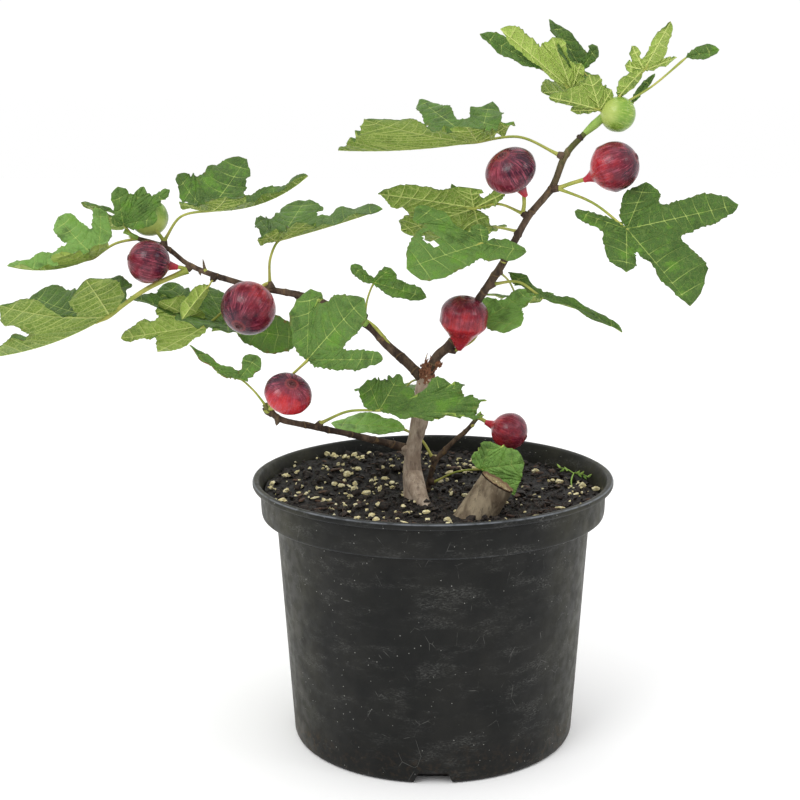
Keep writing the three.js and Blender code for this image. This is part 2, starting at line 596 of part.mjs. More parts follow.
// A fig hangs by its neck. Its profile is a round body that draws in to the neck.
function figSolid(fig, root) {
  const neckFoot = root.clone().add(reach(fig.stalk));
  const hang = direction(fig.hang);
  const bodyHalf = 0.95 * (fig.squat ?? 1) * fig.radius;
  const neckReach = (0.95 + fig.neck) * fig.radius;
  const profile = [new THREE.Vector2(0, 0)];
  for (let row = 0; row < FIG.rows; row += 1) {
    const share = row / FIG.rows;
    const height = share * (bodyHalf + neckReach);
    if (height < neckReach) {
      const below = (neckReach - height) / (fig.radius * (fig.squat ?? 1));
      const ball = fig.radius * Math.sqrt(Math.max(0, 1 - below ** 2));
      const shoulder = (fig.shoulder ?? FIG.shoulder) * fig.radius;
      const neck = lerp(FIG.neckRadius, shoulder, (height / neckReach) ** (fig.bend ?? FIG.bend));
      const blended = (ball ** FIG.blend + neck ** FIG.blend) ** (1 / FIG.blend);
      profile.push(new THREE.Vector2(Math.min(fig.radius, blended), height));
    } else {
      const beyond = (height - neckReach) / bodyHalf;
      profile.push(new THREE.Vector2(fig.radius * Math.sqrt(1 - beyond ** 2), height));
    }
  }
  profile.push(new THREE.Vector2(0, bodyHalf + neckReach));
  const body = new THREE.LatheGeometry(profile, FIG.sides);
  body.applyQuaternion(new THREE.Quaternion().setFromUnitVectors(new THREE.Vector3(0, 1, 0), hang));
  body.translate(neckFoot.x, neckFoot.y, neckFoot.z);

  const inside = neckFoot.clone().addScaledVector(hang, 3);
  const stalkCurve = curveThrough([root, neckFoot, inside]);
  const stalk = tube(stalkCurve, [FIG.stalkRadius, FIG.stalkRadius], FIG.stalkSides, FIG.stalkSteps);
  return toSolid(body).add(toSolid(stalk));
}

// ---------------------------------------------------------------- masses of foliage

// One mass: its stem, leaves and figs, fused into one body and cut clear of the limb it stands on.
function foliage(name) {
  const mass = FOLIAGE[name];
  const limbShape = LIMBS[mass.limb];
  const foot = curveThrough(limbShape.points).getPointAt(mass.at);
  const limbRadius = readAlong(limbShape.radii, mass.at);
  const [length, turn, back] = mass.stem;
  const tip = foot.clone().add(reach([mass.at === 1 ? length : limbRadius + length, turn, back]));
  const stemFoot = mass.at === 1 ? foot.clone().addScaledVector(direction([turn, back]), -3) : foot;
  const radii = mass.at === 1 ? [limbRadius, limbRadius, SPUR.tip] : [SPUR.foot, SPUR.tip];
  const stemCurve = curveThrough([stemFoot, foot.clone().lerp(tip, 0.5), tip]);
  let solid = toSolid(tube(stemCurve, radii, SPUR.sides, SPUR.steps));

  const rootOf = (organ) => foot.clone().lerp(tip, mass.at === 1 ? organ.along : 0.85);
  for (const leaf of mass.leaves) {
    solid = solid.add(leafSolid(leaf, rootOf(leaf)));
  }
  for (const fig of mass.figs ?? []) {
    solid = solid.add(figSolid(fig, rootOf(fig)));
  }
  return toGeometry(solid.subtract(limbSolid(mass.limb, GAP)));
}

// ---------------------------------------------------------------- pot and soil

// Half the pot's wall in section: up the outside, over the rim and down the inside.
function potProfile() {
  const { height, footRadius, waistRadius, collarRadius, rimRadius, rimDepth, collarDepth, wall } = POT;
  const collarFoot = height - collarDepth;
  const outside = [
    [0, 0], [footRadius, 0], [footRadius + 0.8, 3], [waistRadius, collarFoot - 3],
    [collarRadius - 2, collarFoot], [collarRadius, collarFoot + 3], [collarRadius + 1, height - rimDepth],
    [rimRadius, height - rimDepth], [rimRadius, height - 1.5], [rimRadius - 1.5, height],
  ];
  const inside = [
    [collarRadius + 1 - wall, height], [collarRadius - wall, collarFoot + 3 + wall],
    [waistRadius - wall, collarFoot - 3 + wall], [footRadius + 0.8 - wall, 3 + wall], [0, 2 * wall - 2],
  ];
  return [...outside, ...inside].map(([radius, level]) => new THREE.Vector2(radius, level));
}

// A lathe stands along Y, so it is turned to stand along Z.
const standUp = (geometry) => geometry.rotateX(Math.PI / 2);

function pot() {
  let solid = toSolid(standUp(new THREE.LatheGeometry(potProfile(), POT.sides)));
  const half = POT.notchWidth / 2;
  const shape = new THREE.Shape();
  shape.moveTo(-half - 1, -1);
  shape.lineTo(half + 1, -1);
  shape.lineTo(half - 4, POT.notchHeight);
  shape.lineTo(4 - half, POT.notchHeight);
  for (let index = 0; index < POT.notches; index += 1) {
    const notch = new THREE.ExtrudeGeometry(shape, { depth: 20, bevelEnabled: false });
    notch.rotateX(Math.PI / 2);
    notch.translate(0, -(POT.footRadius - 12), 0);
    notch.rotateZ((index * 2 * Math.PI) / POT.notches);
    solid = solid.subtract(toSolid(notch));
  }
  return toGeometry(solid);
}

// The filling follows the pot's inside, and its top is flat round the stems and uneven outside.
function soil() {
  const { waistRadius, footRadius, wall, height, collarDepth, collarRadius } = POT;
  const clear = wall + 2 * GAP;
  const collarFoot = height - collarDepth;
  const top = collarRadius - clear - 0.3;
  const profile = [[0, 2 * wall - 2 + GAP], [footRadius + 0.4 - clear, 6]];
  profile.push([waistRadius - clear, collarFoot + 0.2], [top, collarFoot + 6.3], [top, SOIL_LEVEL]);
  for (let ring = 1; ring < SOIL.rings; ring += 1) {
    profile.push([lerp(top, SOIL.flatRadius, ring / (SOIL.rings - 1)), SOIL_LEVEL]);
  }
  profile.push([0, SOIL_LEVEL]);
  const geometry = standUp(new THREE.LatheGeometry(
    profile.map(([radius, level]) => new THREE.Vector2(radius, level)),
    POT.sides,
  ));
  const position = geometry.attributes.position;
  for (let index = 0; index < position.count; index += 1) {
    const [x, y, z] = [position.getX(index), position.getY(index), position.getZ(index)];
    if (Math.hypot(x, y) > SOIL.flatRadius + 1 && z > SOIL_LEVEL - 1) {
      const bearing = Math.round(Math.abs(Math.atan2(y, x)) * 100) + (y > 0 ? 50 : 0);
      const draw = bearing + Math.round(Math.hypot(x, y));
      position.setZ(index, z + sway(SOIL.seed, draw, SOIL.roughness));
    }
  }
  return geometry;
}

// ---------------------------------------------------------------- assembly

const FINISHES = {
  plastic: { color: 0x2b2c2e, roughness: 0.62 },
  compost: { color: 0x1d1611, roughness: 0.95 },
  bark: { color: 0x7b6d5c, roughness: 0.85 },
  youngBark: { color: 0x4b3a2c, roughness: 0.8 },
  foliage: { color: 0x4f8534, roughness: 0.6 },
};

const tree = new THREE.Group();

function place(name, geometry, finish) {
  const mesh = new THREE.Mesh(weld(geometry), new THREE.MeshStandardMaterial(FINISHES[finish]));
  mesh.name = name;
  tree.add(mesh);
}

place("pot", pot(), "plastic");
place("soil", soil(), "compost");
for (const name of Object.keys(LIMBS)) {
  place(name, limb(name), LIMBS[name].growsFrom ? "youngBark" : "bark");
}
for (const name of Object.keys(FOLIAGE)) {
  place(name, foliage(name), "foliage");
}

export default tree;
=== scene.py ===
"""A young fig tree with ripe fruit in a round nursery pot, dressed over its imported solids.

Sizes in the tables are millimetres; meshes are made in millimetres and scaled to metres at the end.
A direction is [turn, back] in degrees: turn goes from +X up towards +Z, back leans away towards +Y.
"""

import math

import bmesh
import bpy
import numpy as np
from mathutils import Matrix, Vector, noise


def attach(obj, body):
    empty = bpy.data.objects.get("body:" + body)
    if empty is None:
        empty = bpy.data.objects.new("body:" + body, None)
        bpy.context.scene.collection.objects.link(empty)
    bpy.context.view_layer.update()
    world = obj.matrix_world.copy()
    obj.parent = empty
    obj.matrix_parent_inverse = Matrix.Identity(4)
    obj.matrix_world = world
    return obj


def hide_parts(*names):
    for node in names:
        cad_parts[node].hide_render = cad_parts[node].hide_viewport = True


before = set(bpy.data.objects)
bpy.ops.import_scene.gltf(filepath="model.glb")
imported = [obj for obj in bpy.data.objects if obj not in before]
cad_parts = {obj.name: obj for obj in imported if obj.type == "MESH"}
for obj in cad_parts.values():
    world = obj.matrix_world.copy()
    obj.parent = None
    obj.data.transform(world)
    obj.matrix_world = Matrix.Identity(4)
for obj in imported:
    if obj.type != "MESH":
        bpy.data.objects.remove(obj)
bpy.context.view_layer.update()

MM = 0.001
POT = {
    "height": 206, "foot_radius": 110, "waist_radius": 122, "collar_radius": 133.5,
    "rim_radius": 140, "rim_depth": 5, "collar_depth": 28, "wall": 2.2,
    "notches": 4, "notch_width": 28, "notch_height": 9,
}
SOIL_LEVEL = 186
RUNG_PLACES = [0, 0.4, 0.64, 0.85, 1]
FAN = 0.4  # share of a lobe's line where the rungs end on the seam with the next lobe
SWEEP = 0.4  # how early a side vein leaves the midrib
LEAF_THICKNESS = 0.55
STALK_SINK = 0.12

# the axis of every limb, and its radius read evenly from foot to tip
LIMBS = {
    "trunk": {
        "points": [(-12, 0, 176), (-16, 0, 205), (-15, 0, 228), (-10, 0, 250), (-6, 0, 275),
            (-4, 0, 293)],
        "radii": [11.5, 8.6, 7, 5.8, 6.8, 7.6, 4.5],
    },
    "cut_stump": {
        "points": [(27, -42, 176), (48, -42, 210)],
        "radii": [14.5, 13.4],
    },
    "shoot_right": {
        "points": [(-6, 16, 178), (-2, 17, 200), (3, 18, 213), (16, 21, 227), (27, 24, 236),
            (35, 27, 245)],
        "radii": [2.5, 2, 2, 1.7],
    },
    "bough_left": {
        "points": [(-6, 0, 278), (-18, 2, 292), (-35, 10, 306), (-49, 14, 320), (-72, 20, 332),
            (-103, 25, 343), (-146, 31, 350.6), (-187, 35.5, 363.8), (-209, 39, 379),
            (-231, 40, 386)],
        "radii": [3.9, 3.2, 2.5, 2.1, 1.8],
    },
    "bough_right": {
        "points": [(-6, 0, 280), (3, -1, 299), (15, -3, 311), (35, -9, 345), (52, -13, 372),
            (70, -17, 406), (88, -19, 429), (97, -20, 452), (111, -20, 468)],
        "radii": [4, 3.3, 2.8, 2.6, 2.2],
    },
    "branch_low_left": {
        "points": [(-13, 3, 221), (-24, -1, 228), (-56, -22, 241), (-90, -36, 252),
            (-112, -45, 259), (-121, -50, 267)],
        "radii": [3.8, 2.8, 2.3, 2.3, 2.4],
    },
}

# the blades: lobes as (turn, reach, half width), with a second width for the other half, and
# notches as (turn, reach), or as a reach alone for one halfway between its lobes; the lengths
# are shares of the blade's; a leaf that names no outline takes the one numbered as its seed
OUTLINES = {
    "five": ([(-104, 0.5, 0.17), (-52, 0.84, 0.2), (0, 1, 0.22), (52, 0.84, 0.2), (104, 0.5, 0.17)],
        [0.4, 0.42, 0.42, 0.4]),
    "three": ([(-62, 0.7, 0.24), (0, 1, 0.28), (62, 0.7, 0.24)], [0.54, 0.54]),
    "whole": ([(0, 1, 0.34)], []),
    1: ([(-128, 0.72, 0.16), (-75, 0.8, 0.24), (0, 1, 0.17), (57, 0.9, 0.2), (105, 0.5, 0.18)],
        [(-109, 0.42), (-52, 0.42), (28, 0.5), (82, 0.42)]),
    2: ([(-104, 0.5, 0.2), (-50, 0.93, 0.24), (0, 1, 0.24), (50, 0.97, 0.22), (97, 0.62, 0.22)],
        [(-78, 0.5), (-24, 0.66), (24, 0.62), (54, 0.31)]),
    4: ([(-100, 0.4, 0.16), (-50, 0.62, 0.22), (0, 1, 0.17), (70, 0.67, 0.13, 0.26),
        (141, 0.54, 0.1)],
        [0.36, (-24, 0.5), (33, 0.35), (121, 0.44)]),
    3: ([(-50, 0.88, 0.2), (-26, 1.38, 0.14), (0, 1, 0.13), (36, 0.86, 0.2), (100, 0.3, 0.12)],
        [(-33, 1.05), (-17, 0.95), (12, 0.73), (70, 0.3)]),
    "blade": ([(0, 1, 0.13)], []),
    7: ([(-54, 0.72, 0.15), (-26, 0.88, 0.2), (0, 1, 0.17), (50, 0.6, 0.2), (104, 0.4, 0.17)],
        [(-41, 0.56), (-12, 0.72), 0.42, 0.36]),
    5: ([(-106, 0.3, 0.14), (-45, 0.42, 0.2), (0, 1, 0.1, 0.27), (64, 0.76, 0.24),
        (104, 0.62, 0.1)],
        [0.24, (-20, 0.36), (35, 0.5), (93, 0.48)]),
    6: ([(-47, 1.05, 0.14), (0, 1, 0.27, 0.2), (44, 0.84, 0.2, 0.28)], [(-31, 0.5), (33, 0.68)]),
    9: ([(-104, 0.55, 0.24, 0.26), (0, 1, 0.1, 0.16), (60, 0.45, 0.2), (110, 0.3, 0.14)],
        [(-60, 0.16), 0.36, 0.28]),
    10: ([(0, 1, 0.2, 0.15), (62, 0.4, 0.16), (158, 0.58, 0.13)], [(30, 0.4), (112, 0.1)]),
    11: ([(-95, 0.4, 0.16), (-33, 1.02, 0.17), (0, 1, 0.13), (84, 0.24, 0.2), (142, 0.42, 0.08)],
        [(-60, 0.45), (-18, 0.75), (40, 0.3), (118, 0.17)]),
    12: ([(-102, 0.26, 0.11), (-50, 0.93, 0.19, 0.2), (0, 1, 0.26, 0.33), (150, 0.54, 0.13)],
        [(-62, 0.2), (-36, 0.74), (60, 0.22)]),
    13: ([(-94, 0.5, 0.15), (-53, 0.92, 0.12, 0.1), (0, 1, 0.14, 0.2), (44, 0.88, 0.2, 0.24),
        (92, 0.33, 0.15), (140, 0.42, 0.06)],
        [(-69, 0.36), (-36, 0.5), (20, 0.84), (62, 0.38), (121, 0.22)]),
    21: ([(-130, 0.16, 0.06), (0, 1, 0.1), (150, 0.5, 0.07)], [(-80, 0.08), (80, 0.07)]),
    22: ([(-58, 0.72, 0.22), (0, 1, 0.17), (50, 0.42, 0.16)], [(-28, 0.64), (24, 0.42)]),
    23: ([(-24, 0.59, 0.04, 0.05), (-13, 0.97, 0.06, 0.03), (-2, 0.99, 0.03, 0.06),
        (12, 0.8, 0.06, 0.09), (18, 0.68, 0.02, 0.22), (68, 0.42, 0.03, 0.06),
        (112, 0.39, 0.07, 0.15)],
        [(-14, 0.72), (-7, 0.92), (5, 0.76), (15, 0.68), (19.5, 0.33), (92, 0.34)]),
    25: ([(0, 1, 0.06, 0.3), (45, 1, 0.3), (108, 0.66, 0.25), (150, 0.42, 0.14)],
        [(24, 0.96), (80, 0.74), (132, 0.5)]),
    15: ([(-72, 0.55, 0.15), (0, 1, 0.11, 0.2), (45, 0.7, 0.2)], [(-54, 0.33), (26, 0.6)]),
    14: ([(0, 1.03, 0.19, 0.15)], []),
    51: ([(-1, 1, 0.07, 0.21), (28, 0.6, 0.12, 0.15), (66, 0.31, 0.08, 0.1)],
        [(13, 0.57), (50, 0.3)]),
    16: ([(-25, 0.5, 0.12), (0, 1, 0.12), (52, 0.66, 0.2), (100, 0.4, 0.14)],
        [(-14, 0.45), (30, 0.6), (78, 0.42)]),
    18: ([(-105, 0.32, 0.1), (-60, 0.42, 0.1), (0, 0.8, 0.1, 0.17), (52, 0.7, 0.07)],
        [(-85, 0.24), (-40, 0.17), (42, 0.4)]),
    49: ([(0, 1, 0.3)], []),
    47: ([(-26, 0.74, 0.13, 0.1), (0, 1, 0.1, 0.16), (40, 0.6, 0.2)], [(-8, 0.62), (22, 0.55)]),
    20: ([(-154, 0.5, 0.07), (-45, 0.46, 0.13, 0.1), (-7, 0.93, 0.06, 0.36), (60, 1.02, 0.13, 0.19),
        (116, 0.52, 0.16)],
        [(-120, 0.22), (-24, 0.25), (38, 0.49), (88, 0.4)]),
}

SHARED_OUTLINES = ("five", "three", "whole")


def leaf(seed, stalk, bow, blade, look, fold, curl, outline=None, **more):
    """A leaf: stalk and blade as (length, turn, back), the bow of the stalk in millimetres,
    and fold and curl in degrees. look is where the upper face turns."""
    return {
        "seed": seed, "stalk": stalk, "bow": bow, "blade": blade, "look": look, "fold": fold,
        "curl": curl, "outline": outline or seed, **more,
    }


def fig(radius, neck, stalk, hang, painted_lit_side, glow, ripe=True, **more):
    """A fig: where it hangs to, which side of its skin is painted as lit, and how light its painted
    shade and painted light are.
    """
    return {
        "radius": radius, "neck": neck, "stalk": stalk, "hang": hang, "painted_lit_side": painted_lit_side, "glow": glow,
        "ripe": ripe, **more,
    }


def spray(limb, at, stem, *organs, stout=None):
    """Leaves and figs on one short stem, at a share of a limb's length."""
    return {
        "limb": limb, "at": at, "stem": stem, "stout": stout,
        "leaves": [o for o in organs if "blade" in o], "figs": [o for o in organs if "hang" in o],
    }


# a leaf's tone is its own lightness, and on leaves in dim light, such as leaves 22, 24 and 25,
# painted light as well
FOLIAGE = {
    "spray_left_inner": spray("bough_left", 0.27, (4, 60, -20),
        leaf(10, (28, 74, -15), 2, (44, 347, -20), (95, -50), 10, 0, tone=0),
    ),
    "spray_left_middle": spray("bough_left", 0.56, (4, 110, 20),
        leaf(5, (35, 80, 20), 6, (86, 14, 5), (95, 0), 24, -5, tone=0.1),
        leaf(7, (60, 224, 28), 3, (82, 167, 5), (85, -14), 20, -6, cup=0.2, tone=-0.2),
        leaf(8, (62, 232, 32), 2, (54, 353, 10), (60, -60), 10, 20, outline="whole", dry=1),
        leaf(47, (73, 214, 25), 3, (71, 189, 0), (100, 60), 10, 0, tone=0.6),
        fig(21, 0.15, (9, 201, -22.5), (243, -48), (45, -10), (-0.3, 0.75)),
    ),
    "spray_left_back": spray("bough_left", 0.48, (3, 270, 60),
        leaf(41, (90, 250, 62), -2, (66, 195, 60), (90, 10), 10, 15, outline="three"),
    ),
    "spray_left_small": spray("bough_left", 0.74, (3, 250, -40),
        leaf(17, (6, 235, -40), 0, (34, 228, -15), (120, 50), 20, 10, outline=49, tone=0.9,
             thick=1),
    ),
    "spray_left_outer": spray("bough_left", 0.82, (3, 240, -10),
        leaf(2, (70, 209, -10), 3, (106, 212, -8), (95, 4), 30, -28, tone=-0.35, thick=2.5),
        fig(16.6, 0.45, (8.4, 160, -24.6), (166, -20), (200, -20), (-0.1, 0.4)),
    ),
    "spray_left_high": spray("bough_left", 0.92, (3, 80, -10),
        leaf(4, (46, 34, -15), 8, (90, 358, -12), (95, -14), 30, -42, tone=-0.55),
        fig(14.8, 0.05, (12, 124, -20), (124, 45), (90, -20), (0, 0.25), ripe=False),
    ),
    "crown_left": spray("bough_left", 1, (12, 150, 0),
        leaf(1, (36, 202, -15), 3, (68, 207, -15), (95, -14), 32, -45, along=0, tone=2.4),
        leaf(3, (13.5, 118, -40), 0, (34, 61, -8), (100, -75), 10, 15, along=0.4, tone=0.2),
        leaf(13, (16, 118, 10), 0, (31, 158, 10), (90, -10), 30, 10, outline="blade", along=0.6,
             tone=-0.4),
        leaf(46, (30, 150, 66), 2, (50, 190, 66), (80, 25), 15, 15, outline="three", along=0.8),
        stout=1.7,
    ),
    "spray_right_foot": spray("bough_right", 0.14, (4, 340, 10),
        leaf(22, (34, 43, 20), -5, (46, 34, 10), (100, -45), 15, 10, tone=3.1),
        fig(18.3, 0.45, (5, 20, -45), (82, -12), (268, -25), (0.1, 1.1), shoulder=1.1,
            bend=1.05, rise=0.24),
    ),
    "spray_right_back": spray("bough_right", 0.46, (3, 330, 60),
        leaf(42, (62, 302, 60), 3, (46, 340, 72), (90, 5), 8, 12, outline="three"),
    ),
    "spray_right_low": spray("bough_right", 0.4, (3, 20, -10),
        leaf(21, (37, 348, -20), 6, (67, 346, -13), (75, -25), 25, 20, tone=-0.2),
    ),
    "spray_right_front": spray("bough_right", 0.51, (3, 140, -60),
        leaf(12, (28, 142, -45), 3, (61, 194, -22), (100, -60), 5, 10,
             hole=(0.585, -0.26, 0.095), tone=0.5),
    ),
    "spray_right_middle": spray("bough_right", 0.67, (3, 150, 0),
        leaf(11, (42, 176, 32), 5, (78, 171, 20), (100, 52), 5, 5, tone=-0.3),
        fig(19, 0.4, (13.9, 83, -17), (122, -28), (215, -10), (-0.1, 0.4), squat=0.8),
    ),
    "spray_right_far": spray("bough_right", 0.6, (3, 60, 60),
        leaf(43, (80, 187, 62), 3, (66, 196, 62), (90, 10), 10, 10, outline="five"),
    ),
    "spray_right_outer": spray("bough_right", 0.79, (3, 0, -20),
        leaf(20, (62, 330, -27), 4, (80, 318, -28), (80, -60), 5, 10, tone=-0.5),
        fig(18.2, 0.45, (20, 18, -10), (26, -18), (185, -15), (-0.2, 0.95), shoulder=1.35,
            bend=1.6),
    ),
    "spray_right_high": spray("bough_right", 0.9, (3, 160, 10),
        leaf(31, (64, 171, 22), 8, (110, 190, 14), (95, -5), 27, -12, outline=13, tone=0.1),
    ),
    "crown_right": spray("bough_right", 1, (26, 42, -5),
        leaf(14, (58, 148, 8), 4, (51, 151, 8), (64, -60), 12, 0, along=0.9, tone=-0.2),
        leaf(15, (38, 126, 12), 2, (42, 120, 0), (40, -45), 20, 10, along=0.95, tone=-0.7),
        leaf(16, (7, 128, -30), 1, (42, 163, -15), (73, 60), 20, 15, along=0.7, tone=0.2),
        leaf(18, (37, 52, -12), 3, (48, 62, 0), (152, 60), 15, 0, along=0.95, tone=0.8),
        leaf(19, (12, 60, -15), 0, (26, 54, -10), (144, 60), 20, 15, outline="whole", along=0.9,
             tone=0.5),
        leaf(51, (31, 149, 0), 3, (68, 138, 0), (46, 60), 10, 10, along=0.85, tone=1.2),
        leaf(48, (14, 75, 30), 1, (32, 135, 10), (50, -50), 10, 10, outline="blade", along=0.8,
             tone=2),
        leaf(49, (65, 36, -12), -3, (24, 12, 0), (100, -50), 15, 0, along=0.95, tone=-0.3),
        leaf(50, (20, 20, 20), 1, (28, 53, 5), (140, -50), 10, 5, outline="blade", along=0.85,
             tone=-0.5),
        leaf(45, (40, 130, 62), 2, (62, 160, 66), (70, 30), 15, 15, outline="five", along=0.8),
        fig(13, 0.05, (8, 147, -66), (350, 30), (90, -20), (0.2, 0.6), ripe=False, along=0.8),
        stout=3.3,
    ),
    "spray_trunk_back": spray("trunk", 0.86, (3, 120, 60),
        leaf(44, (46, 226, 58), 3, (58, 185, 72), (90, 5), 8, 12, outline="three"),
    ),
    "spray_low_middle": spray("branch_low_left", 0.68, (3, 60, -20),
        leaf(23, (52, 18, -24), 4, (82, 8, -12), (92, -32), 10, 0, tone=0.1),
    ),
    "crown_low_left": spray("branch_low_left", 1, (6, 120, -10),
        leaf(6, (50, 50, -12), 2, (62, 50, -8), (130, -60), 5, 10, along=0.5, tone=0.25),
        leaf(9, (28, 133, 8), 1, (45, 168, 10), (75, -18), 25, -45, along=0.8, dry=0.6,
             tone=0.5),
        fig(17.2, 0.1, (13.8, 9, -30.5), (68, -38), (262, -25), (-0.35, 1.3), squat=0.72,
            along=0.3),
    ),
    "spray_shoot_foot": spray("shoot_right", 0.22, (3, 0, -30),
        leaf(25, (50, 26, -36), 3, (34, 322, 0), (70, -72), 5, 12, tone=4),
    ),
    "spray_shoot_back": spray("shoot_right", 0.42, (3, 130, 20),
        leaf(24, (32, 137, 20), 4, (62, 176, 14), (90, -15), 5, 5, outline="whole", tone=4.2),
    ),
    "spray_shoot_tip": spray("shoot_right", 1, (5, 45, 0),
        fig(14.6, 0.5, (7.3, 332, -17), (343, -20), (200, 0), (0.3, 0.9), along=0.1),
    ),
}


# ---------------------------------------------------------------- small helpers


def direction(turn, back):
    t, b = math.radians(turn), math.radians(back)
    return np.array([math.cos(b) * math.cos(t), math.sin(b), math.cos(b) * math.sin(t)])


def reach(triple):
    return direction(triple[1], triple[2]) * triple[0]


def chance(seed, draw):
    wave = math.sin(seed * 12.9898 + draw * 78.233) * 43758.5453
    return wave - math.floor(wave)


def sway(seed, draw, amount):
    return amount * (2 * chance(seed, draw) - 1)


def unit(v):
    return v / max(1e-12, np.linalg.norm(v))


def read_along(values, share):
    place = share * (len(values) - 1)
    before = min(int(place), len(values) - 2)
    return values[before] + (values[before + 1] - values[before]) * (place - before)


def step_up(x, low, high):
    t = np.clip((x - low) / (high - low), 0, 1)
    return t * t * (3 - 2 * t)


class Path:
    """A smooth curve through points, read by share of its length."""

    def __init__(self, points):
        p = [np.array(q, float) for q in points]
        p = [2 * p[0] - p[1]] + p + [2 * p[-1] - p[-2]]
        t = np.linspace(0, 1, 40, endpoint=False)[:, None]
        rows = []
        for a, b, c, d in zip(p, p[1:], p[2:], p[3:]):
            m0, m1 = 0.5 * (c - a), 0.5 * (d - b)
            square, cube = -3 * b + 3 * c - 2 * m0 - m1, 2 * b - 2 * c + m0 + m1
            rows.append(b + m0 * t + square * t**2 + cube * t**3)
        self.dense = np.vstack(rows + [p[-2][None]])
        gaps = np.linalg.norm(np.diff(self.dense, axis=0), axis=1)
        self.far = np.concatenate([[0], np.cumsum(gaps)])
        self.length = self.far[-1]

    def at(self, share):
        s = np.clip(share, 0, 1) * self.length
        return np.stack([np.interp(s, self.far, self.dense[:, k]) for k in range(3)], axis=-1)

    def frames(self, shares):
        """Points, tangents and a pair of turning-free side directions."""
        points = self.at(shares)
        ahead = self.at(shares + 0.004) - self.at(shares - 0.004)
        ahead /= np.linalg.norm(ahead, axis=1)[:, None]
        side = np.zeros_like(ahead)
        last = unit(np.cross(ahead[0], [0.3, -1, 0.2]))
        for i, a in enumerate(ahead):
            last = unit(last - a * last.dot(a))
            side[i] = last
        return points, ahead, side, np.cross(ahead, side)


def lump(points, size, seed, detail):
    """Fractal noise, about -1 to 1, at points in millimetres."""
    q = np.asarray(points, float) / size + seed * 7.13
    kind = "PERLIN_ORIGINAL"
    return np.array([noise.fractal(Vector(p), 0.9, 2.1, detail, noise_basis=kind) for p in q])


def circle(sides):
    return np.linspace(0, 2 * math.pi, sides, endpoint=False)


def ring_at(radius, level, turn):
    """Points on a level circle round the pot's axis."""
    return np.stack([radius * np.cos(turn), radius * np.sin(turn), np.full(len(turn), level)], -1)


# ---------------------------------------------------------------- pieces


class Piece:
    """Gathers vertices, faces, a material for each face and values for each vertex."""

    def __init__(self, name):
        self.name = name
        self.verts, self.faces, self.mats = [], [], []
        self.values = {"vein": [], "tone": [], "dry": []}
        self.uvs, self.count = [], 0

    def add(self, verts, faces, mat=0, uv=None, **values):
        verts = np.asarray(verts, float)
        n = len(verts)
        self.verts.append(verts)
        self.faces.extend([tuple(int(i) + self.count for i in f) for f in faces])
        self.mats.extend(list(mat) if np.ndim(mat) else [mat] * len(faces))
        for key, kept in self.values.items():
            kept.append(np.broadcast_to(np.asarray(values.get(key, 0.0), float), (n,)))
        self.uvs.append(np.zeros((n, 2)) if uv is None else np.asarray(uv, float))
        self.count += n
        return self

    def build(self, materials, slot, node=None, crease=38):
        mesh = bpy.data.meshes.new(self.name)
        mesh.from_pydata((np.vstack(self.verts) * MM).tolist(), [], self.faces)
        for m in materials:
            mesh.materials.append(m)
        mesh.polygons.foreach_set("material_index", np.array(self.mats, np.int32))
        for key, kept in self.values.items():
            layer = mesh.attributes.new(key, "FLOAT", "POINT")
            layer.data.foreach_set("value", np.concatenate(kept).astype(np.float32))
        uv = np.vstack(self.uvs)
        at = np.zeros(len(mesh.loops), np.int32)
        mesh.loops.foreach_get("vertex_index", at)
        mesh.uv_layers.new(name="flat").data.foreach_set("uv", uv[at].astype(np.float32).ravel())
        mesh.polygons.foreach_set("use_smooth", np.ones(len(mesh.polygons), bool))
        mesh.update()
        mesh.set_sharp_from_angle(angle=math.radians(crease))
        obj = bpy.data.objects.new(self.name, mesh)
        bpy.context.scene.collection.objects.link(obj)
        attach(obj, "root")
        if node:
            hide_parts(node)
        return obj


def ring_faces(rings, sides, closed_start=True, closed_end=True):
    faces = []
    for r in range(rings - 1):
        a, b = r * sides, (r + 1) * sides
        faces += [(a + i, a + (i + 1) % sides, b + (i + 1) % sides, b + i) for i in range(sides)]
    if closed_start:
        faces.append(tuple(reversed(range(sides))))
    if closed_end:
        faces.append(tuple((rings - 1) * sides + i for i in range(sides)))
    return faces


def tube(path, radius, sides, rings, shape=None):
    """A tube along a path. radius(share) is its size; shape(share, angle) adds to it."""
    shares = np.linspace(0, 1, rings)
    points, _, side, other = path.frames(shares)
    turn = circle(sides)
    around = np.cos(turn)[None, :, None] * side[:, None, :]
    around = around + np.sin(turn)[None, :, None] * other[:, None, :]
    size = np.array([radius(s) for s in shares])[:, None] * np.ones((1, sides))
    along = shares[:, None] * np.ones((1, sides))
    if shape is not None:
        size = size + shape(along, turn[None, :] * np.ones((rings, 1)))
    verts = points[:, None, :] + around * size[..., None]
    uv = np.stack([turn[None, :] / (2 * math.pi) * np.ones((rings, 1)), along], -1)
    return verts.reshape(-1, 3), ring_faces(rings, sides), uv.reshape(-1, 2)


# ---------------------------------------------------------------- leaves


def on_line(turn, far, wide=0.0):
    t = math.radians(turn)
    c, s = math.cos(t), math.sin(t)
    return np.array([far * c - wide * s, far * s + wide * c])


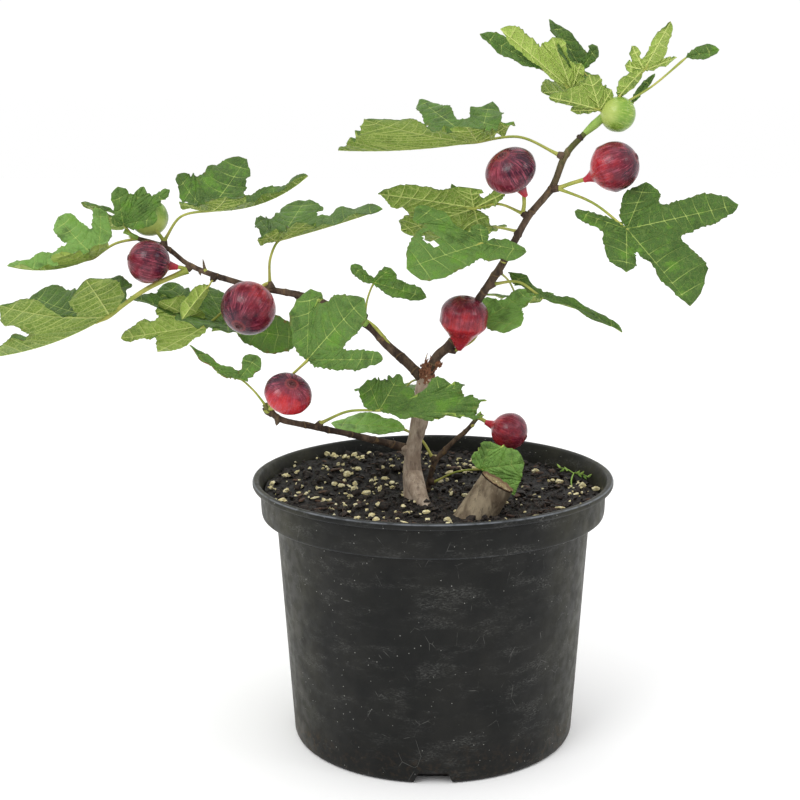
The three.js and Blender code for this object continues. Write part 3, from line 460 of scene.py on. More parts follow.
def lobes_of(outline, seed):
    """Lobes and notches of a blade. A shared outline differs a little from leaf to leaf."""
    loose = 1 if outline in SHARED_OUTLINES else 0
    lobe_rows, notch_rows = OUTLINES[outline]
    lobes = []
    for i, (turn, far, *wides) in enumerate(lobe_rows):
        mid = turn == 0
        lobes.append({
            "turn": 0 if mid else turn + loose * sway(seed, 10 * i + 1, 4),
            "far": far if mid else far * (1 + loose * sway(seed, 10 * i + 2, 0.07)),
            "wide": [w * (1 + loose * sway(seed, 10 * i + 3, 0.08)) for w in (wides[0], wides[-1])],
            "lift": 0 if mid else (0.05 + 0.11 * loose) * sway(seed, 10 * i + 4, 1),
        })
    notches = []
    for i, notch in enumerate(notch_rows):
        between = (lobes[i]["turn"] + lobes[i + 1]["turn"]) / 2
        turn, far = notch if isinstance(notch, tuple) else (between, notch)
        notches.append(on_line(turn, far * (1 + loose * sway(seed, 77 + i, 0.08))))
    return lobes, notches


def half_margin(lobe, side, notch):
    """The margin of half a lobe as the four corners of a Bezier curve."""
    tip = on_line(lobe["turn"], lobe["far"])
    width = lobe["wide"][side > 0]
    if notch is None:
        foot = on_line(lobe["turn"], 0.06 * lobe["far"], side * 0.85 * width)
        wide = on_line(lobe["turn"], 0.8 * lobe["far"], side * 1.45 * width)
        return [np.zeros(2), foot, wide, tip]
    out = unit(notch)
    inward = np.array([side * out[1], -side * out[0]])
    throat = notch + inward * (0.55 * min(width, 0.16) + 0.02) + out * 0.03
    shoulder = on_line(lobe["turn"], 0.86 * lobe["far"], side * 1.55 * width)
    return [notch, throat, shoulder, tip]


def bezier(corners, t):
    a, b, c, d = corners
    t = np.asarray(t, float)[..., None]
    return a * (1 - t) ** 3 + 3 * b * t * (1 - t) ** 2 + 3 * c * t**2 * (1 - t) + d * t**3


def settle(flat, lift, leaf):
    """Folds, cups and curls points of the flat blade. flat is (n, 2) in shares of the length."""
    length = leaf["blade"][0]
    crease = 0.04
    spread = np.sqrt(flat[:, 1] ** 2 + crease**2) - crease
    fold = math.radians(leaf["fold"])
    side = flat[:, 1] * math.cos(fold)
    height = spread * math.sin(fold) + lift - leaf.get("cup", 0) * flat[:, 1] ** 2
    bend = math.radians(leaf["curl"]) + 1e-4
    angle = bend * flat[:, 0]
    forward = (1 / bend + height) * np.sin(angle)
    raised = (1 / bend + height) * np.cos(angle) - 1 / bend
    return np.stack([forward, side, raised], -1) * length


def rung_list(leaf, far):
    """Where the rungs of a half lobe stand. A side vein is a rung with a close one on each side.
    Up to FAN they are the same in all lobes of a leaf, so that the lobes meet point on point."""
    length = leaf["blade"][0]
    own = length * far
    count = max(2, round(own * (1 - FAN) / 8.5))
    rungs = {0.0: 0.0, FAN: 0.0, 1.0: 0.0}
    inner, outer = [0.15, 0.29], [FAN + (1 - FAN) * (k + 0.4) / (count + 0.3) for k in range(count)]
    for v in inner + outer:
        thin = min(0.6 / (length if v < FAN else own), 0.03 if v < FAN else 0.2 * (1 - FAN) / count)
        rungs[v] = 1.0
        rungs[v - thin] = 0.0
        rungs[v + thin] = 0.0
    stops = [0.0] + inner + outer + [1.0]
    for a, b in zip([0.0] + inner + [FAN] + outer, inner + [FAN] + outer + [1.0]):
        fill = 2 if b <= FAN else min(6, max(1, round((b - a) * own / 1.7) - 1))
        for k in range(1, fill + 1):
            rungs[a + (b - a) * k / (fill + 1)] = 0.0
    places = sorted(rungs)
    return np.array(places), np.array([rungs[p] for p in places]), np.array(stops)


def teeth(walk, seed):
    """How far the margin stands out, in millimetres, at a way along it: teeth on slow waves."""
    pace = walk / 4.6 + 0.35 * np.sin(walk / 5.1 + seed)
    count = np.floor(pace).astype(int)
    size = np.array([0.5 + chance(seed, 600 + int(k)) for k in count])
    tooth = size * ((pace - count) ** 1.6 - 0.4)
    slow = np.sin(walk / 3.1 + 2.3 * seed) + 0.8 * np.sin(walk / 5.9 + 1.1 * seed)
    return 1.25 * tooth + 0.55 * slow


def blade_sheet(leaf):
    """The middle surface of a blade: points in its own frame, faces, and how far each point
    is on a vein and on the dry margin."""
    seed, length = leaf["seed"], leaf["blade"][0]
    lobes, notches = lobes_of(leaf["outline"], seed)
    across = np.array([0.14, 0.32, 0.52, 0.72, 0.87, 0.96, 1.0])
    small = min(1.0, 0.4 + length / 110)
    verts, faces, vein, dry = [], [], [], []
    for i, lobe in enumerate(lobes):
        u, on_vein, stops = rung_list(leaf, lobe["far"])
        own = length * lobe["far"]
        for side in (-1, 1):
            beside = i - 1 if side < 0 else i
            notch = notches[beside] if 0 <= beside < len(notches) else None
            margin = half_margin(lobe, side, notch)
            if notch is None:
                t = np.interp(u, RUNG_PLACES, [0, 0.25, 0.5, 0.75, 1])
                free = step_up(u, 0.02, 0.14)
            else:
                t = np.interp(u, [0, FAN, 0.64, 0.85, 1], [0, 0, 1 / 3, 2 / 3, 1])
                free = step_up(u, FAN, FAN + 0.08)
            edge = bezier(margin, t)
            slope = bezier(margin, np.clip(t + 0.01, 0, 1))
            slope = slope - bezier(margin, np.clip(t - 0.01, 0, 1))
            slope /= np.maximum(1e-9, np.linalg.norm(slope, axis=1))[:, None]
            outward = np.stack([-side * slope[:, 1], side * slope[:, 0]], -1)
            strides = np.linalg.norm(np.diff(edge, axis=0), axis=1)
            walk = np.concatenate([[0], np.cumsum(strides)]) * length
            taper = (1 - step_up(u, 0.9, 1.0)) * min(1.0, own / 25) * small
            jagged = teeth(walk, seed + 2.7 * i + side) * free * taper / length
            edge = edge + outward * jagged[:, None]
            if notch is not None:
                seam = u <= FAN
                edge[seam] = notch * (u[seam] / FAN)[:, None]
            # a side vein leaves the midrib early and runs forward to the margin in a shallow curve
            early = u * (1 - SWEEP * (1 - u))
            line = np.stack([on_line(lobe["turn"], p * lobe["far"]) for p in early])
            reach_out = np.linalg.norm(edge - line, axis=1)
            rib = (1.0 - 0.6 * early) * 0.9 * small
            share = np.clip(rib / np.maximum(reach_out * length, 1e-6), 0.02, 0.3)[:, None]
            outer = share + (1 - share) * across[None, :]
            v = np.concatenate([0 * share, 0.55 * share, share, outer], 1)
            flat = line[:, None, :] * (1 - v[..., None]) + edge[:, None, :] * v[..., None]
            back = on_line(lobe["turn"], 1.0)[None, None, :] * (4 * v * (1 - v))[..., None]
            flat = flat - back * (0.06 * reach_out * np.minimum(1, 4 * u * (1 - u)))[:, None, None]
            near = np.clip(np.searchsorted(stops, u, "right") - 1, 0, len(stops) - 2)
            between = (u - stops[near]) / (stops[near + 1] - stops[near])
            swell = np.sin(math.pi * np.clip(between, 0, 1)) ** 0.7
            swell = swell[:, None] * np.sin(math.pi * np.clip(v, 0, 1) ** 0.8)
            open_ = step_up(u, FAN, FAN + 0.24)[:, None]
            wave_count = 2.2 + 1.8 * chance(seed, 60 + i)
            phase = 6.28 * chance(seed, 61 + 3 * i + side)
            wave = np.sin(2 * math.pi * wave_count * u + phase)[:, None]
            wave = wave * v**2 * open_ * (1 - 0.4 * u[:, None])
            rise = lobe["lift"] * (flat**2).sum(-1) * (1 - v * (1 - open_))
            lift = rise + (0.9 / length) * swell + 0.034 * wave
            rib_mask = np.clip(1.6 - 1.6 * v / share, 0, 1)
            mask = np.maximum(on_vein[:, None] * (1 - 0.5 * v), rib_mask * (1 - 0.25 * u[:, None]))
            start = sum(len(x) for x in verts)
            verts.append(np.concatenate([flat.reshape(-1, 2), lift.reshape(-1, 1)], 1))
            vein.append(mask.ravel())
            jag = np.array([chance(seed, 500 + 9 * i + k) for k in range(len(u))])[:, None]
            dry.append((step_up(v + 0.3 * (jag - 0.5), 0.86, 1.05) * np.ones_like(v)).ravel())
            n, m = v.shape
            for r in range(n - 1):
                for c in range(m - 1):
                    a, b = start + r * m + c, start + (r + 1) * m + c
                    faces.append((a, b, b + 1, a + 1) if side > 0 else (a, a + 1, b + 1, b))
    return merge(np.vstack(verts), faces, np.concatenate(vein), np.concatenate(dry))


def merge(verts, faces, *values):
    """Joins points that coincide, and drops the faces that this closes up."""
    key = np.round(verts[:, :2] * 2e4).astype(np.int64)
    _, first, back = np.unique(key, axis=0, return_index=True, return_inverse=True)
    back = back.ravel()
    kept = []
    for f in faces:
        g = []
        for i in f:
            j = int(back[i])
            if j not in g:
                g.append(j)
        if len(g) >= 3:
            kept.append(tuple(g))
    out = []
    for val in values:
        top = np.zeros(len(first))
        np.maximum.at(top, back, val)
        out.append(top)
    return (verts[first], kept, *out)


def sheet_normals(points, faces):
    normal = np.zeros_like(points)
    for size in (3, 4):
        f = np.array([q for q in faces if len(q) == size], int).reshape(-1, size)
        if not len(f):
            continue
        a, b, c, d = points[f[:, 0]], points[f[:, 1]], points[f[:, 2]], points[f[:, -1]]
        n = np.cross(c - a, d - b) if size == 4 else np.cross(b - a, c - a)
        for k in range(size):
            np.add.at(normal, f[:, k], n)
    return normal / np.maximum(1e-12, np.linalg.norm(normal, axis=1))[:, None]


def blade_frame(leaf, base):
    ahead = direction(leaf["blade"][1], leaf["blade"][2])
    upper = direction(*leaf["look"])
    upper = unit(upper - ahead * upper.dot(ahead))
    return base, np.stack([ahead, np.cross(upper, ahead), upper])


def leaf_root(mass, organ):
    limb = LIMBS[mass["limb"]]
    foot = Path(limb["points"]).at(mass["at"])
    thick = read_along(limb["radii"], mass["at"])
    length, turn, back = mass["stem"]
    tip = foot + reach([length if mass["at"] == 1 else thick + length, turn, back])
    share = organ.get("along", 0) if mass["at"] == 1 else 0.85
    return foot + (tip - foot) * share, foot, tip, thick


def add_leaf(leaves, twigs, leaf, root):
    base = root + reach(leaf["stalk"])
    origin, axes = blade_frame(leaf, base)
    sheet, faces, vein, dry = blade_sheet(leaf)
    if "hole" in leaf:
        hx, hy, hr = leaf["hole"]
        centre = np.array([sheet[list(f), :2].mean(0) for f in faces])
        d = np.hypot(centre[:, 0] - hx, centre[:, 1] - hy)
        faces = [f for f, gone in zip(faces, d < hr) if not gone]
    local = settle(sheet[:, :2], sheet[:, 2], leaf)
    normal = sheet_normals(local, faces)
    top = local + normal * (0.5 * LEAF_THICKNESS - 0.12 * vein)[:, None]
    low = local - normal * (0.5 * LEAF_THICKNESS + 0.45 * vein)[:, None]
    n = len(local)
    used = {}
    for f in faces:
        for a, b in zip(f, f[1:] + f[:1]):
            used[(a, b)] = True
    rim = [(a, a + n, b + n, b) for a, b in used if (b, a) not in used]
    both = np.vstack([top, low]) @ axes + origin
    quads = list(faces) + [tuple(i + n for i in reversed(f)) for f in faces] + rim
    mats = [0] * len(faces) + [1] * len(faces) + [0] * len(rim)
    # the leaf's own lightness, and on leaves in dim light painted light as well
    tone = leaf.get("tone", sway(leaf["seed"], 900, 0.6))
    uv = np.vstack([sheet[:, :2]] * 2) * leaf["blade"][0] + leaf["seed"] * 13.7
    parched = dry * leaf.get("dry", 0.35)
    leaves.add(both, quads, mats, uv, vein=np.tile(vein, 2), tone=tone, dry=np.tile(parched, 2))

    chord = unit(base - root)
    up = np.array([0, 0, 1.0])
    sideways = unit(up - chord * up.dot(chord))
    middle = (root + base) / 2 + sideways * leaf["bow"]
    sunk = []
    for s in (0.0, STALK_SINK):
        p = settle(np.array([[s, 0.0]]), 0, leaf)[0]
        p[2] -= 0.55
        sunk.append(p @ axes + origin)
    path = Path([root, middle] + sunk)
    thick = leaf.get("thick", 1.4 if leaf["blade"][0] > 60 else 1.1)

    def radius(s):
        foot, swelling = 0.5 * math.exp(-s * 16), 0.2 * step_up(s, 0.7, 0.85)
        return thick * (0.78 - 0.12 * s + foot + swelling - 0.62 * step_up(s, 0.86, 1.0))

    verts, quads, uv = tube(path, radius, 10, 26)
    twigs.add(verts, quads, 0, uv, tone=tone)


# ---------------------------------------------------------------- materials


def rgb(*parts):
    """A colour given as 0 to 255, in the linear values that a shader takes."""
    linear = [c / 255 / 12.92 if c < 11 else ((c / 255 + 0.055) / 1.055) ** 2.4 for c in parts]
    return (*linear, 1.0)


class Paint:
    """A node material, made step by step. A size in millimetres is the size of a feature."""

    def __init__(self, name, **sockets):
        self.material = bpy.data.materials.new(name)
        self.material.use_nodes = True
        self.tree = self.material.node_tree
        self.shader = self.tree.nodes["Principled BSDF"]
        for key, value in sockets.items():
            self.shader.inputs[key.replace("_", " ")].default_value = value

    def put(self, socket, value):
        if isinstance(value, bpy.types.NodeSocket):
            self.tree.links.new(value, socket)
        elif value is not None:
            socket.default_value = value

    def node(self, kind, inputs=None, **settings):
        made = self.tree.nodes.new("ShaderNode" + kind)
        for key, value in settings.items():
            setattr(made, key, value)
        for key, value in (inputs or {}).items():
            self.put(made.inputs[key], value)
        return made

    def place(self, stretch=(1, 1, 1), flat=False):
        """Coordinates in millimetres, of the mesh, or of the flat leaf where flat is true."""
        if flat:
            source, size = self.node("UVMap", uv_map="flat").outputs[0], 1.0
        else:
            source, size = self.node("TexCoord").outputs["Object"], 1 / MM
        scale = [size * s for s in stretch]
        return self.node("Mapping", {"Vector": source, "Scale": scale}).outputs[0]

    def value(self, name):
        return self.node("Attribute", attribute_name=name).outputs["Fac"]

    def noise(self, size, detail=3, rough=0.55, at=None):
        inputs = {"Vector": at or self.place(), "Scale": 1 / size}
        inputs.update({"Detail": detail, "Roughness": rough})
        return self.node("TexNoise", inputs).outputs["Fac"]

    def cells(self, size, feature="F1", at=None):
        inputs = {"Vector": at or self.place(), "Scale": 1 / size}
        return self.node("TexVoronoi", inputs, feature=feature).outputs["Distance"]

    def fit(self, value, low, high, to_low=0.0, to_high=1.0, soft=True):
        kind = "SMOOTHSTEP" if soft else "LINEAR"
        inputs = {"Value": value, "From Min": low, "From Max": high}
        inputs.update({"To Min": to_low, "To Max": to_high})
        return self.node("MapRange", inputs, interpolation_type=kind, clamp=True).outputs["Result"]

    def sum(self, op, a, b, c=None):
        made = self.node("Math", {0: a, 1: b}, operation=op)
        if c is not None:
            self.put(made.inputs[2], c)
        return made.outputs[0]

    def mix(self, a, b, share):
        made = self.node("Mix", data_type="RGBA", blend_type="MIX", clamp_factor=True)
        by_name = {s.identifier: s for s in made.inputs}
        self.put(by_name["Factor_Float"], share)
        self.put(by_name["A_Color"], a)
        self.put(by_name["B_Color"], b)
        return {s.identifier: s for s in made.outputs}["Result_Color"]

    def bump(self, height, depth, after=None):
        """Relief of a depth in millimetres, added to the relief before it."""
        made = self.node("Bump", {"Height": height, "Distance": depth * MM, "Strength": 1.0})
        if after is not None:
            self.put(made.inputs["Normal"], after)
        return made.outputs[0]

    def done(self, colour, rough=None, relief=None):
        self.put(self.shader.inputs["Base Color"], colour)
        self.put(self.shader.inputs["Roughness"], rough)
        if relief is not None:
            self.put(self.shader.inputs["Normal"], relief)
        return self.material


def leaf_paint(name, dark, bright, deep, glow, vein, under=False):
    """tone is how light the leaf is: its own paler or darker green, and on leaves that the lamps
    leave dim also painted light; vein how far a point is on a vein, dry how parched.
    """
    p = Paint(name, Specular_IOR_Level=0.2)
    flat = p.place(flat=True)
    tone, line, dry = p.value("tone"), p.value("vein"), p.value("dry")
    # painted light in part: the high tones given to leaves in dim light lift them towards the
    # bright colour
    body = p.mix(dark, bright, p.fit(tone, -1, 5, soft=False))
    patch = p.noise(15, 3, 0.6)
    body = p.mix(body, deep, p.fit(patch, 0.5, 0.7, 0, 0.6))
    body = p.mix(body, glow, p.fit(patch, 0.3, 0.47, 0.6, 0))
    body = p.mix(body, glow, p.fit(p.noise(4.5, 3), 0.52, 0.72, 0, 0.35))
    grid = p.cells(3.6, "DISTANCE_TO_EDGE", flat)
    fine = p.cells(1.3, "DISTANCE_TO_EDGE", flat)
    cells = p.fit(grid, 0.0, 0.12)
    small = p.fit(fine, 0.0, 0.2)
    body = p.mix(vein, body, p.fit(cells, 0, 1, 0.6 if under else 0.9, 1))
    body = p.mix(vein, body, p.fit(small, 0, 1, 0.85 if under else 0.93, 1))
    raised = p.fit(line, 0.15, 0.75, 0, 0.9) if under else p.fit(line, 0.32, 0.95, 0, 0.85)
    body = p.mix(body, vein, raised)
    blotch = p.fit(p.noise(5, 4), 0.35, 0.65)
    body = p.mix(body, rgb(118, 84, 44), p.sum("MULTIPLY", p.fit(dry, 0.18, 0.6), blotch))
    relief = p.bump(p.noise(0.9, 2), 0.04)
    relief = p.bump(cells, -0.3 if under else 0.3, relief)
    relief = p.bump(small, 0.05, relief)
    rough = p.fit(p.noise(7, 2), 0.3, 0.7, 0.45, 0.6)
    return p.done(body, rough, relief)


def stalk_paint():
    p = Paint("leaf_stalk", Specular_IOR_Level=0.3)
    body = p.mix(rgb(138, 152, 62), rgb(178, 176, 90), p.fit(p.noise(14, 2), 0.3, 0.7))
    body = p.mix(body, rgb(140, 96, 58), p.fit(p.noise(5, 4), 0.58, 0.74, 0, 0.5))
    relief = p.bump(p.noise(0.8, 3), 0.08)
    return p.done(body, 0.5, relief)


def bark_paint(name, base, pale, dark, green, scar):
    """tone is how young the wood is, vein a leaf scar or ring, dry a crack."""
    p = Paint(name, Specular_IOR_Level=0.25)
    young, mark, crack = p.value("tone"), p.value("vein"), p.value("dry")
    along = p.place((1, 1, 0.35))
    body = p.mix(base, pale, p.fit(p.noise(9, 5, 0.6, along), 0.38, 0.66))
    grain = p.noise(1.5, 4, 0.7, p.place((1, 1, 0.16)))
    body = p.mix(body, dark, p.fit(grain, 0.54, 0.7, 0, 0.5))
    body = p.mix(body, dark, p.fit(p.noise(3.2, 5, 0.65, along), 0.52, 0.7, 0, 0.6))
    uneven = p.fit(p.noise(10, 3), 0.3, 0.6, 0.5, 1)
    body = p.mix(body, green, p.sum("MULTIPLY", p.fit(young, 0.2, 1.0), uneven))
    dots = p.cells(2.6, "F1", p.place((1, 1, 0.6)))
    body = p.mix(pale, body, p.fit(dots, 0.1, 0.2, 0.35, 1))
    body = p.mix(body, scar, p.fit(mark, 0.3, 0.9, 0, 0.6))
    body = p.mix(body, dark, p.fit(crack, 0.2, 0.8, 0, 0.9))
    relief = p.bump(p.noise(1.2, 5, 0.7, along), 0.35)
    relief = p.bump(grain, -0.25, relief)
    relief = p.bump(p.fit(dots, 0.08, 0.2), -0.12, relief)
    return p.done(body, p.fit(p.noise(4, 3), 0.3, 0.7, 0.7, 0.92), relief)


def wood_paint(name, pale, dark, ring_size):
    """Bare wood. Rings and rays run by the flat coordinates: way from the pith, and turn."""
    p = Paint(name, Specular_IOR_Level=0.25)
    flat = p.place(flat=True)
    split = p.node("SeparateXYZ", {0: flat})
    wobble = p.sum("MULTIPLY_ADD", p.noise(4, 3), 1.6, split.outputs[0])
    ring = p.sum("SINE", p.sum("MULTIPLY", wobble, 2 * math.pi / ring_size), 0.0)
    body = p.mix(pale, dark, p.fit(ring, -0.6, 1.0, 0, 0.4))
    body = p.mix(body, dark, p.fit(p.noise(2.4, 5, 0.7), 0.46, 0.66, 0, 0.85))
    ray = p.noise(1, 3, 0.6, p.place((0.12, 6, 1), flat=True))
    body = p.mix(body, rgb(60, 50, 36), p.fit(ray, 0.58, 0.68, 0, 0.8))
    body = p.mix(body, rgb(238, 226, 196), p.fit(p.noise(3.1, 3), 0.6, 0.7, 0, 0.7))
    body = p.mix(body, rgb(126, 100, 78), p.fit(p.value("dry"), 0.2, 1.0, 0, 0.95))
    relief = p.bump(ring, 0.12)
    relief = p.bump(p.noise(0.8, 5, 0.7), 0.25, relief)
    return p.done(body, 0.82, relief)


def fig_paint(name, deep, dark, bright, neck, line, bloom_and_highlight, ripe=True):
    """tone is how lit the skin is painted, painted light on one side and painted shade on the
    other, vein a rib, dry the place along the fig from stalk to eye.
    """
    p = Paint(name, Specular_IOR_Level=0.32)
    painted_lit_side, rib, along = p.value("tone"), p.value("vein"), p.value("dry")
    streak = p.noise(1, 3, 0.6, p.place((40, 1.6, 1), flat=True))
    hair = p.noise(1, 3, 0.6, p.place((130, 4, 1), flat=True))
    # painted light and shade: the skin runs from deep plum on its shaded side to bright red on its
    # lit side, with large mottles and streaks at random
    light = p.sum("MULTIPLY_ADD", p.fit(p.noise(8, 4, 0.6), 0.3, 0.7, -0.5, 0.5), 0.38, painted_lit_side)
    light = p.sum("MULTIPLY_ADD", p.fit(streak, 0.3, 0.7, -0.5, 0.5), 0.2, light)
    body = p.mix(deep, dark, p.fit(light, -0.05, 0.45))
    body = p.mix(body, bright, p.fit(light, 0.4, 1.1))
    paler = p.fit(p.noise(7, 3), 0.38, 0.6, 0.14, 0.66)
    body = p.mix(body, line, p.sum("MULTIPLY", p.fit(hair, 0.5, 0.63), paler))
    body = p.mix(body, line, p.fit(rib, 0.7, 1, 0, 0.14))
    end = p.sum("MULTIPLY_ADD", p.fit(streak, 0.3, 0.7, -0.5, 0.5), 0.1, along)
    body = p.mix(neck, body, p.fit(end, 0.03, 0.32))
    specks = p.cells(2.3, "F1", p.place())
    body = p.mix(line, body, p.fit(specks, 0.06, 0.14, 0.35, 1))
    # waxy bloom and painted highlight: soft pale lilac patches at random on the skin
    bloom_and_highlight_share = p.fit(p.noise(5, 4, 0.65), 0.54, 0.76, 0, 0.15 if ripe else 0.1)
    body = p.mix(body, bloom_and_highlight, bloom_and_highlight_share)
    # the eye: a ring and its dark middle
    eye_ring, eye = (rgb(158, 62, 58), rgb(64, 22, 24)) if ripe else (neck, rgb(120, 118, 54))
    body = p.mix(body, eye_ring, p.fit(along, 0.976, 0.988, 0, 0.4))
    body = p.mix(body, eye, p.fit(along, 0.987, 0.996, 0, 0.85))
    relief = p.bump(p.noise(3.4, 3), 0.3)
    relief = p.bump(streak, 0.12, relief)
    relief = p.bump(hair, 0.04, relief)
    return p.done(body, p.fit(p.noise(4, 3), 0.3, 0.7, 0.17, 0.32), relief)


def plastic_paint():
    p = Paint("pot_plastic_worn", Specular_IOR_Level=0.16)
    body = p.mix(rgb(18, 19, 19), rgb(27, 27, 26), p.fit(p.noise(46, 4, 0.6), 0.4, 0.68))
    # olive stains and dirt, made stronger on the pot's left and right than on its front and back:
    # real stains and dirt, and a painted reflection on the pot's edges as seen from the front
    where = p.node("SeparateXYZ", {0: p.place()}).outputs
    side = p.fit(p.sum("ABSOLUTE", where[0], 0), 70, 122)
    olive_and_side_sheen = p.fit(p.noise(22, 5, 0.7), 0.28, 0.72, 0.18, 0.68)
    olive_and_side_sheen = p.sum("MULTIPLY", olive_and_side_sheen, p.sum("MULTIPLY_ADD", side, 0.55, 0.04))
    body = p.mix(body, rgb(84, 82, 62), olive_and_side_sheen)
    wide = p.place((1, 1, 3.2))
    scuff = p.fit(p.noise(34, 4, 0.6, wide), 0.48, 0.72)
    scuff = p.sum("MULTIPLY", scuff, p.fit(p.noise(2.2, 4, 0.7, wide), 0.42, 0.72))
    body = p.mix(body, rgb(100, 100, 97), p.sum("MULTIPLY", scuff, 0.55))
    scratch = p.cells(15, "DISTANCE_TO_EDGE", p.place((1, 1, 0.7)))
    scratch = p.fit(scratch, 0.0, 0.012, 1, 0)
    scratch = p.sum("MULTIPLY", scratch, p.fit(p.noise(13, 3, 0.5), 0.56, 0.68))
    body = p.mix(body, rgb(130, 130, 126), p.sum("MULTIPLY", scratch, 0.42))
    specks = p.fit(p.cells(5.0), 0.05, 0.085, 1, 0)
    specks = p.sum("MULTIPLY", specks, p.fit(p.noise(30, 2), 0.4, 0.58))
    body = p.mix(body, rgb(190, 190, 184), p.sum("MULTIPLY", specks, 0.62))
    low = p.fit(p.sum("MULTIPLY_ADD", p.noise(24, 4), 40, where[2]), 30, 52, 1, 0)
    dirt_and_side_sheen = p.sum("MULTIPLY", low, p.fit(p.noise(4, 5, 0.7), 0.48, 0.64))
    # painted reflection in part: stronger on the pot's left and right
    dirt_and_side_sheen = p.sum("MULTIPLY", dirt_and_side_sheen, p.sum("MULTIPLY_ADD", side, 0.35, 0.12))
    body = p.mix(body, rgb(96, 74, 52), dirt_and_side_sheen)
    # rubbed wear and painted highlight: pale blue-grey lines along the pot's rounded edges and rim
    wear_and_highlight = p.fit(p.value("dry"), 0.3, 1, 0, 0.6)
    wear_and_highlight = p.sum("MULTIPLY", wear_and_highlight, p.fit(p.noise(9, 4, 0.6), 0.28, 0.62, 0.25, 1))
    body = p.mix(body, rgb(134, 139, 146), wear_and_highlight)
    relief = p.bump(p.noise(1.1, 3), 0.05)
    relief = p.bump(p.noise(26, 2), 0.35, relief)
    relief = p.bump(scratch, -0.1, relief)
    rough = p.fit(p.noise(9, 4), 0.3, 0.7, 0.4, 0.58)
    return p.done(body, rough, relief)


def crumb_paint(name, dark, mid, pale, size, share=0.25):
    p = Paint(name, Specular_IOR_Level=0.4)
    body = p.mix(dark, mid, p.fit(p.noise(size, 4, 0.65), 0.4, 0.65))
    body = p.mix(body, pale, p.fit(p.noise(size * 0.45, 4, 0.7), 0.58, 0.74, 0, share))
    relief = p.bump(p.noise(size * 0.25, 4, 0.7), size * 0.12)
    return p.done(body, 0.72, relief)


# ---------------------------------------------------------------- wood


def node_marks(along, turn, thick, k, at, ring_width, scar_size):
    """How near points are to a node's ring, and the squared distance from its leaf scar."""
    ring = (along - at + 1.2 * np.sin(turn + k)) / ring_width
    around = (turn - k * 2.4 + math.pi) % (2 * math.pi) - math.pi
    scar = (around * thick / scar_size) ** 2 + ((along - at + 2.2) / scar_size) ** 2
    return np.exp(-(ring**2)), scar


def bark_shape(length, thick, seed, ridge, nodes):
    """Relief of a limb: long ridges, fine cracks, and a ring with a leaf scar at every node."""

    def shape(share, turn):
        along = share * length
        q = np.stack([np.cos(turn) * thick * 1.3, np.sin(turn) * thick * 1.3, along * 0.3], -1)
        q = q.reshape(-1, 3)
        coarse = lump(q, 7.0, seed, 4).reshape(share.shape)
        fine = lump(q * [1, 1, 1.2], 2.2, seed + 3, 3).reshape(share.shape)
        size = ridge * (0.9 * coarse + 0.5 * fine)
        for k, at in enumerate(nodes):
            ring, scar = node_marks(along, turn, thick, k, at, 1.1, 2.0)
            size += 0.34 * ring
            size += 0.55 * np.exp(-scar) - 0.35 * np.exp(-scar * 5)
        return size

    return shape


def bark_marks(length, thick, share, turn, nodes):
    along = share * length
    mark = np.zeros_like(share)
    for k, at in enumerate(nodes):
        ring, scar = node_marks(along, turn, thick, k, at, 0.9, 1.9)
        mark = np.maximum(mark, np.maximum(0.8 * ring, np.exp(-scar)))
    return mark


def node_places(length, spacing, seed):
    places, at, k = [], spacing * 0.6, 0
    while at < length - 5:
        places.append(at)
        at += spacing * (1 + sway(seed, k, 0.35))
        k += 1
    return places


def limb_tube(name, seed, sides, step, ridge, spacing, young):
    limb = LIMBS[name]
    path = Path(limb["points"])
    mean = sum(limb["radii"]) / len(limb["radii"])
    nodes = node_places(path.length, spacing, seed) if spacing else []
    rings = max(8, int(path.length / step))
    shape = bark_shape(path.length, mean, seed, ridge, nodes)
    verts, faces, uv = tube(path, lambda s: read_along(limb["radii"], s), sides, rings, shape)
    share, turn = uv[:, 1], uv[:, 0] * 2 * math.pi
    marks = bark_marks(path.length, mean, share, turn, nodes)
    age = np.interp(share, [0, 0.55, 0.9, 1], young)
    return verts, faces, uv, {"vein": marks, "tone": age}


def bud(piece, foot, heading, length, radius, mat, seed, sides=12, rings=12, **values):
    """A pointed bud of overlapping scales."""
    path = Path([foot, foot + heading * length * 0.5, foot + heading * length])

    def size(s):
        swell = math.sin(math.pi * min(1, 0.32 + 0.68 * s)) ** 0.8
        return radius * swell * (1.02 - 0.25 * s) + 0.06

    def overlap(share, turn):
        return 0.1 * radius * np.sin(3 * turn + 9 * share + seed) * np.sin(np.pi * share)

    verts, faces, uv = tube(path, size, sides, rings, overlap)
    piece.add(verts, faces, mat, uv, **values)


def splinters(piece, foot, spread, count, tall, mat, seed, heading):
    """Torn fibres: thin pointed blades of wood where a shoot broke away."""
    rng = np.random.RandomState(seed)
    for _ in range(count):
        start = np.array(foot) + rng.normal(size=3) * np.array(spread)
        lean = unit(np.array(heading, float) + rng.normal(size=3) * (0.32, 0.2, 0.2))
        length = tall * rng.uniform(0.35, 1.0)
        middle = start + lean * length * 0.5 + rng.normal(size=3) * 0.4
        path = Path([start, middle, start + lean * length])
        wide = rng.uniform(0.6, 1.5)
        verts, faces, uv = tube(path, lambda s, w=wide: w * (1 - s) ** 0.6 + 0.05, 6, 7)
        piece.add(verts, faces, mat, uv, tone=rng.uniform(-1, 1))


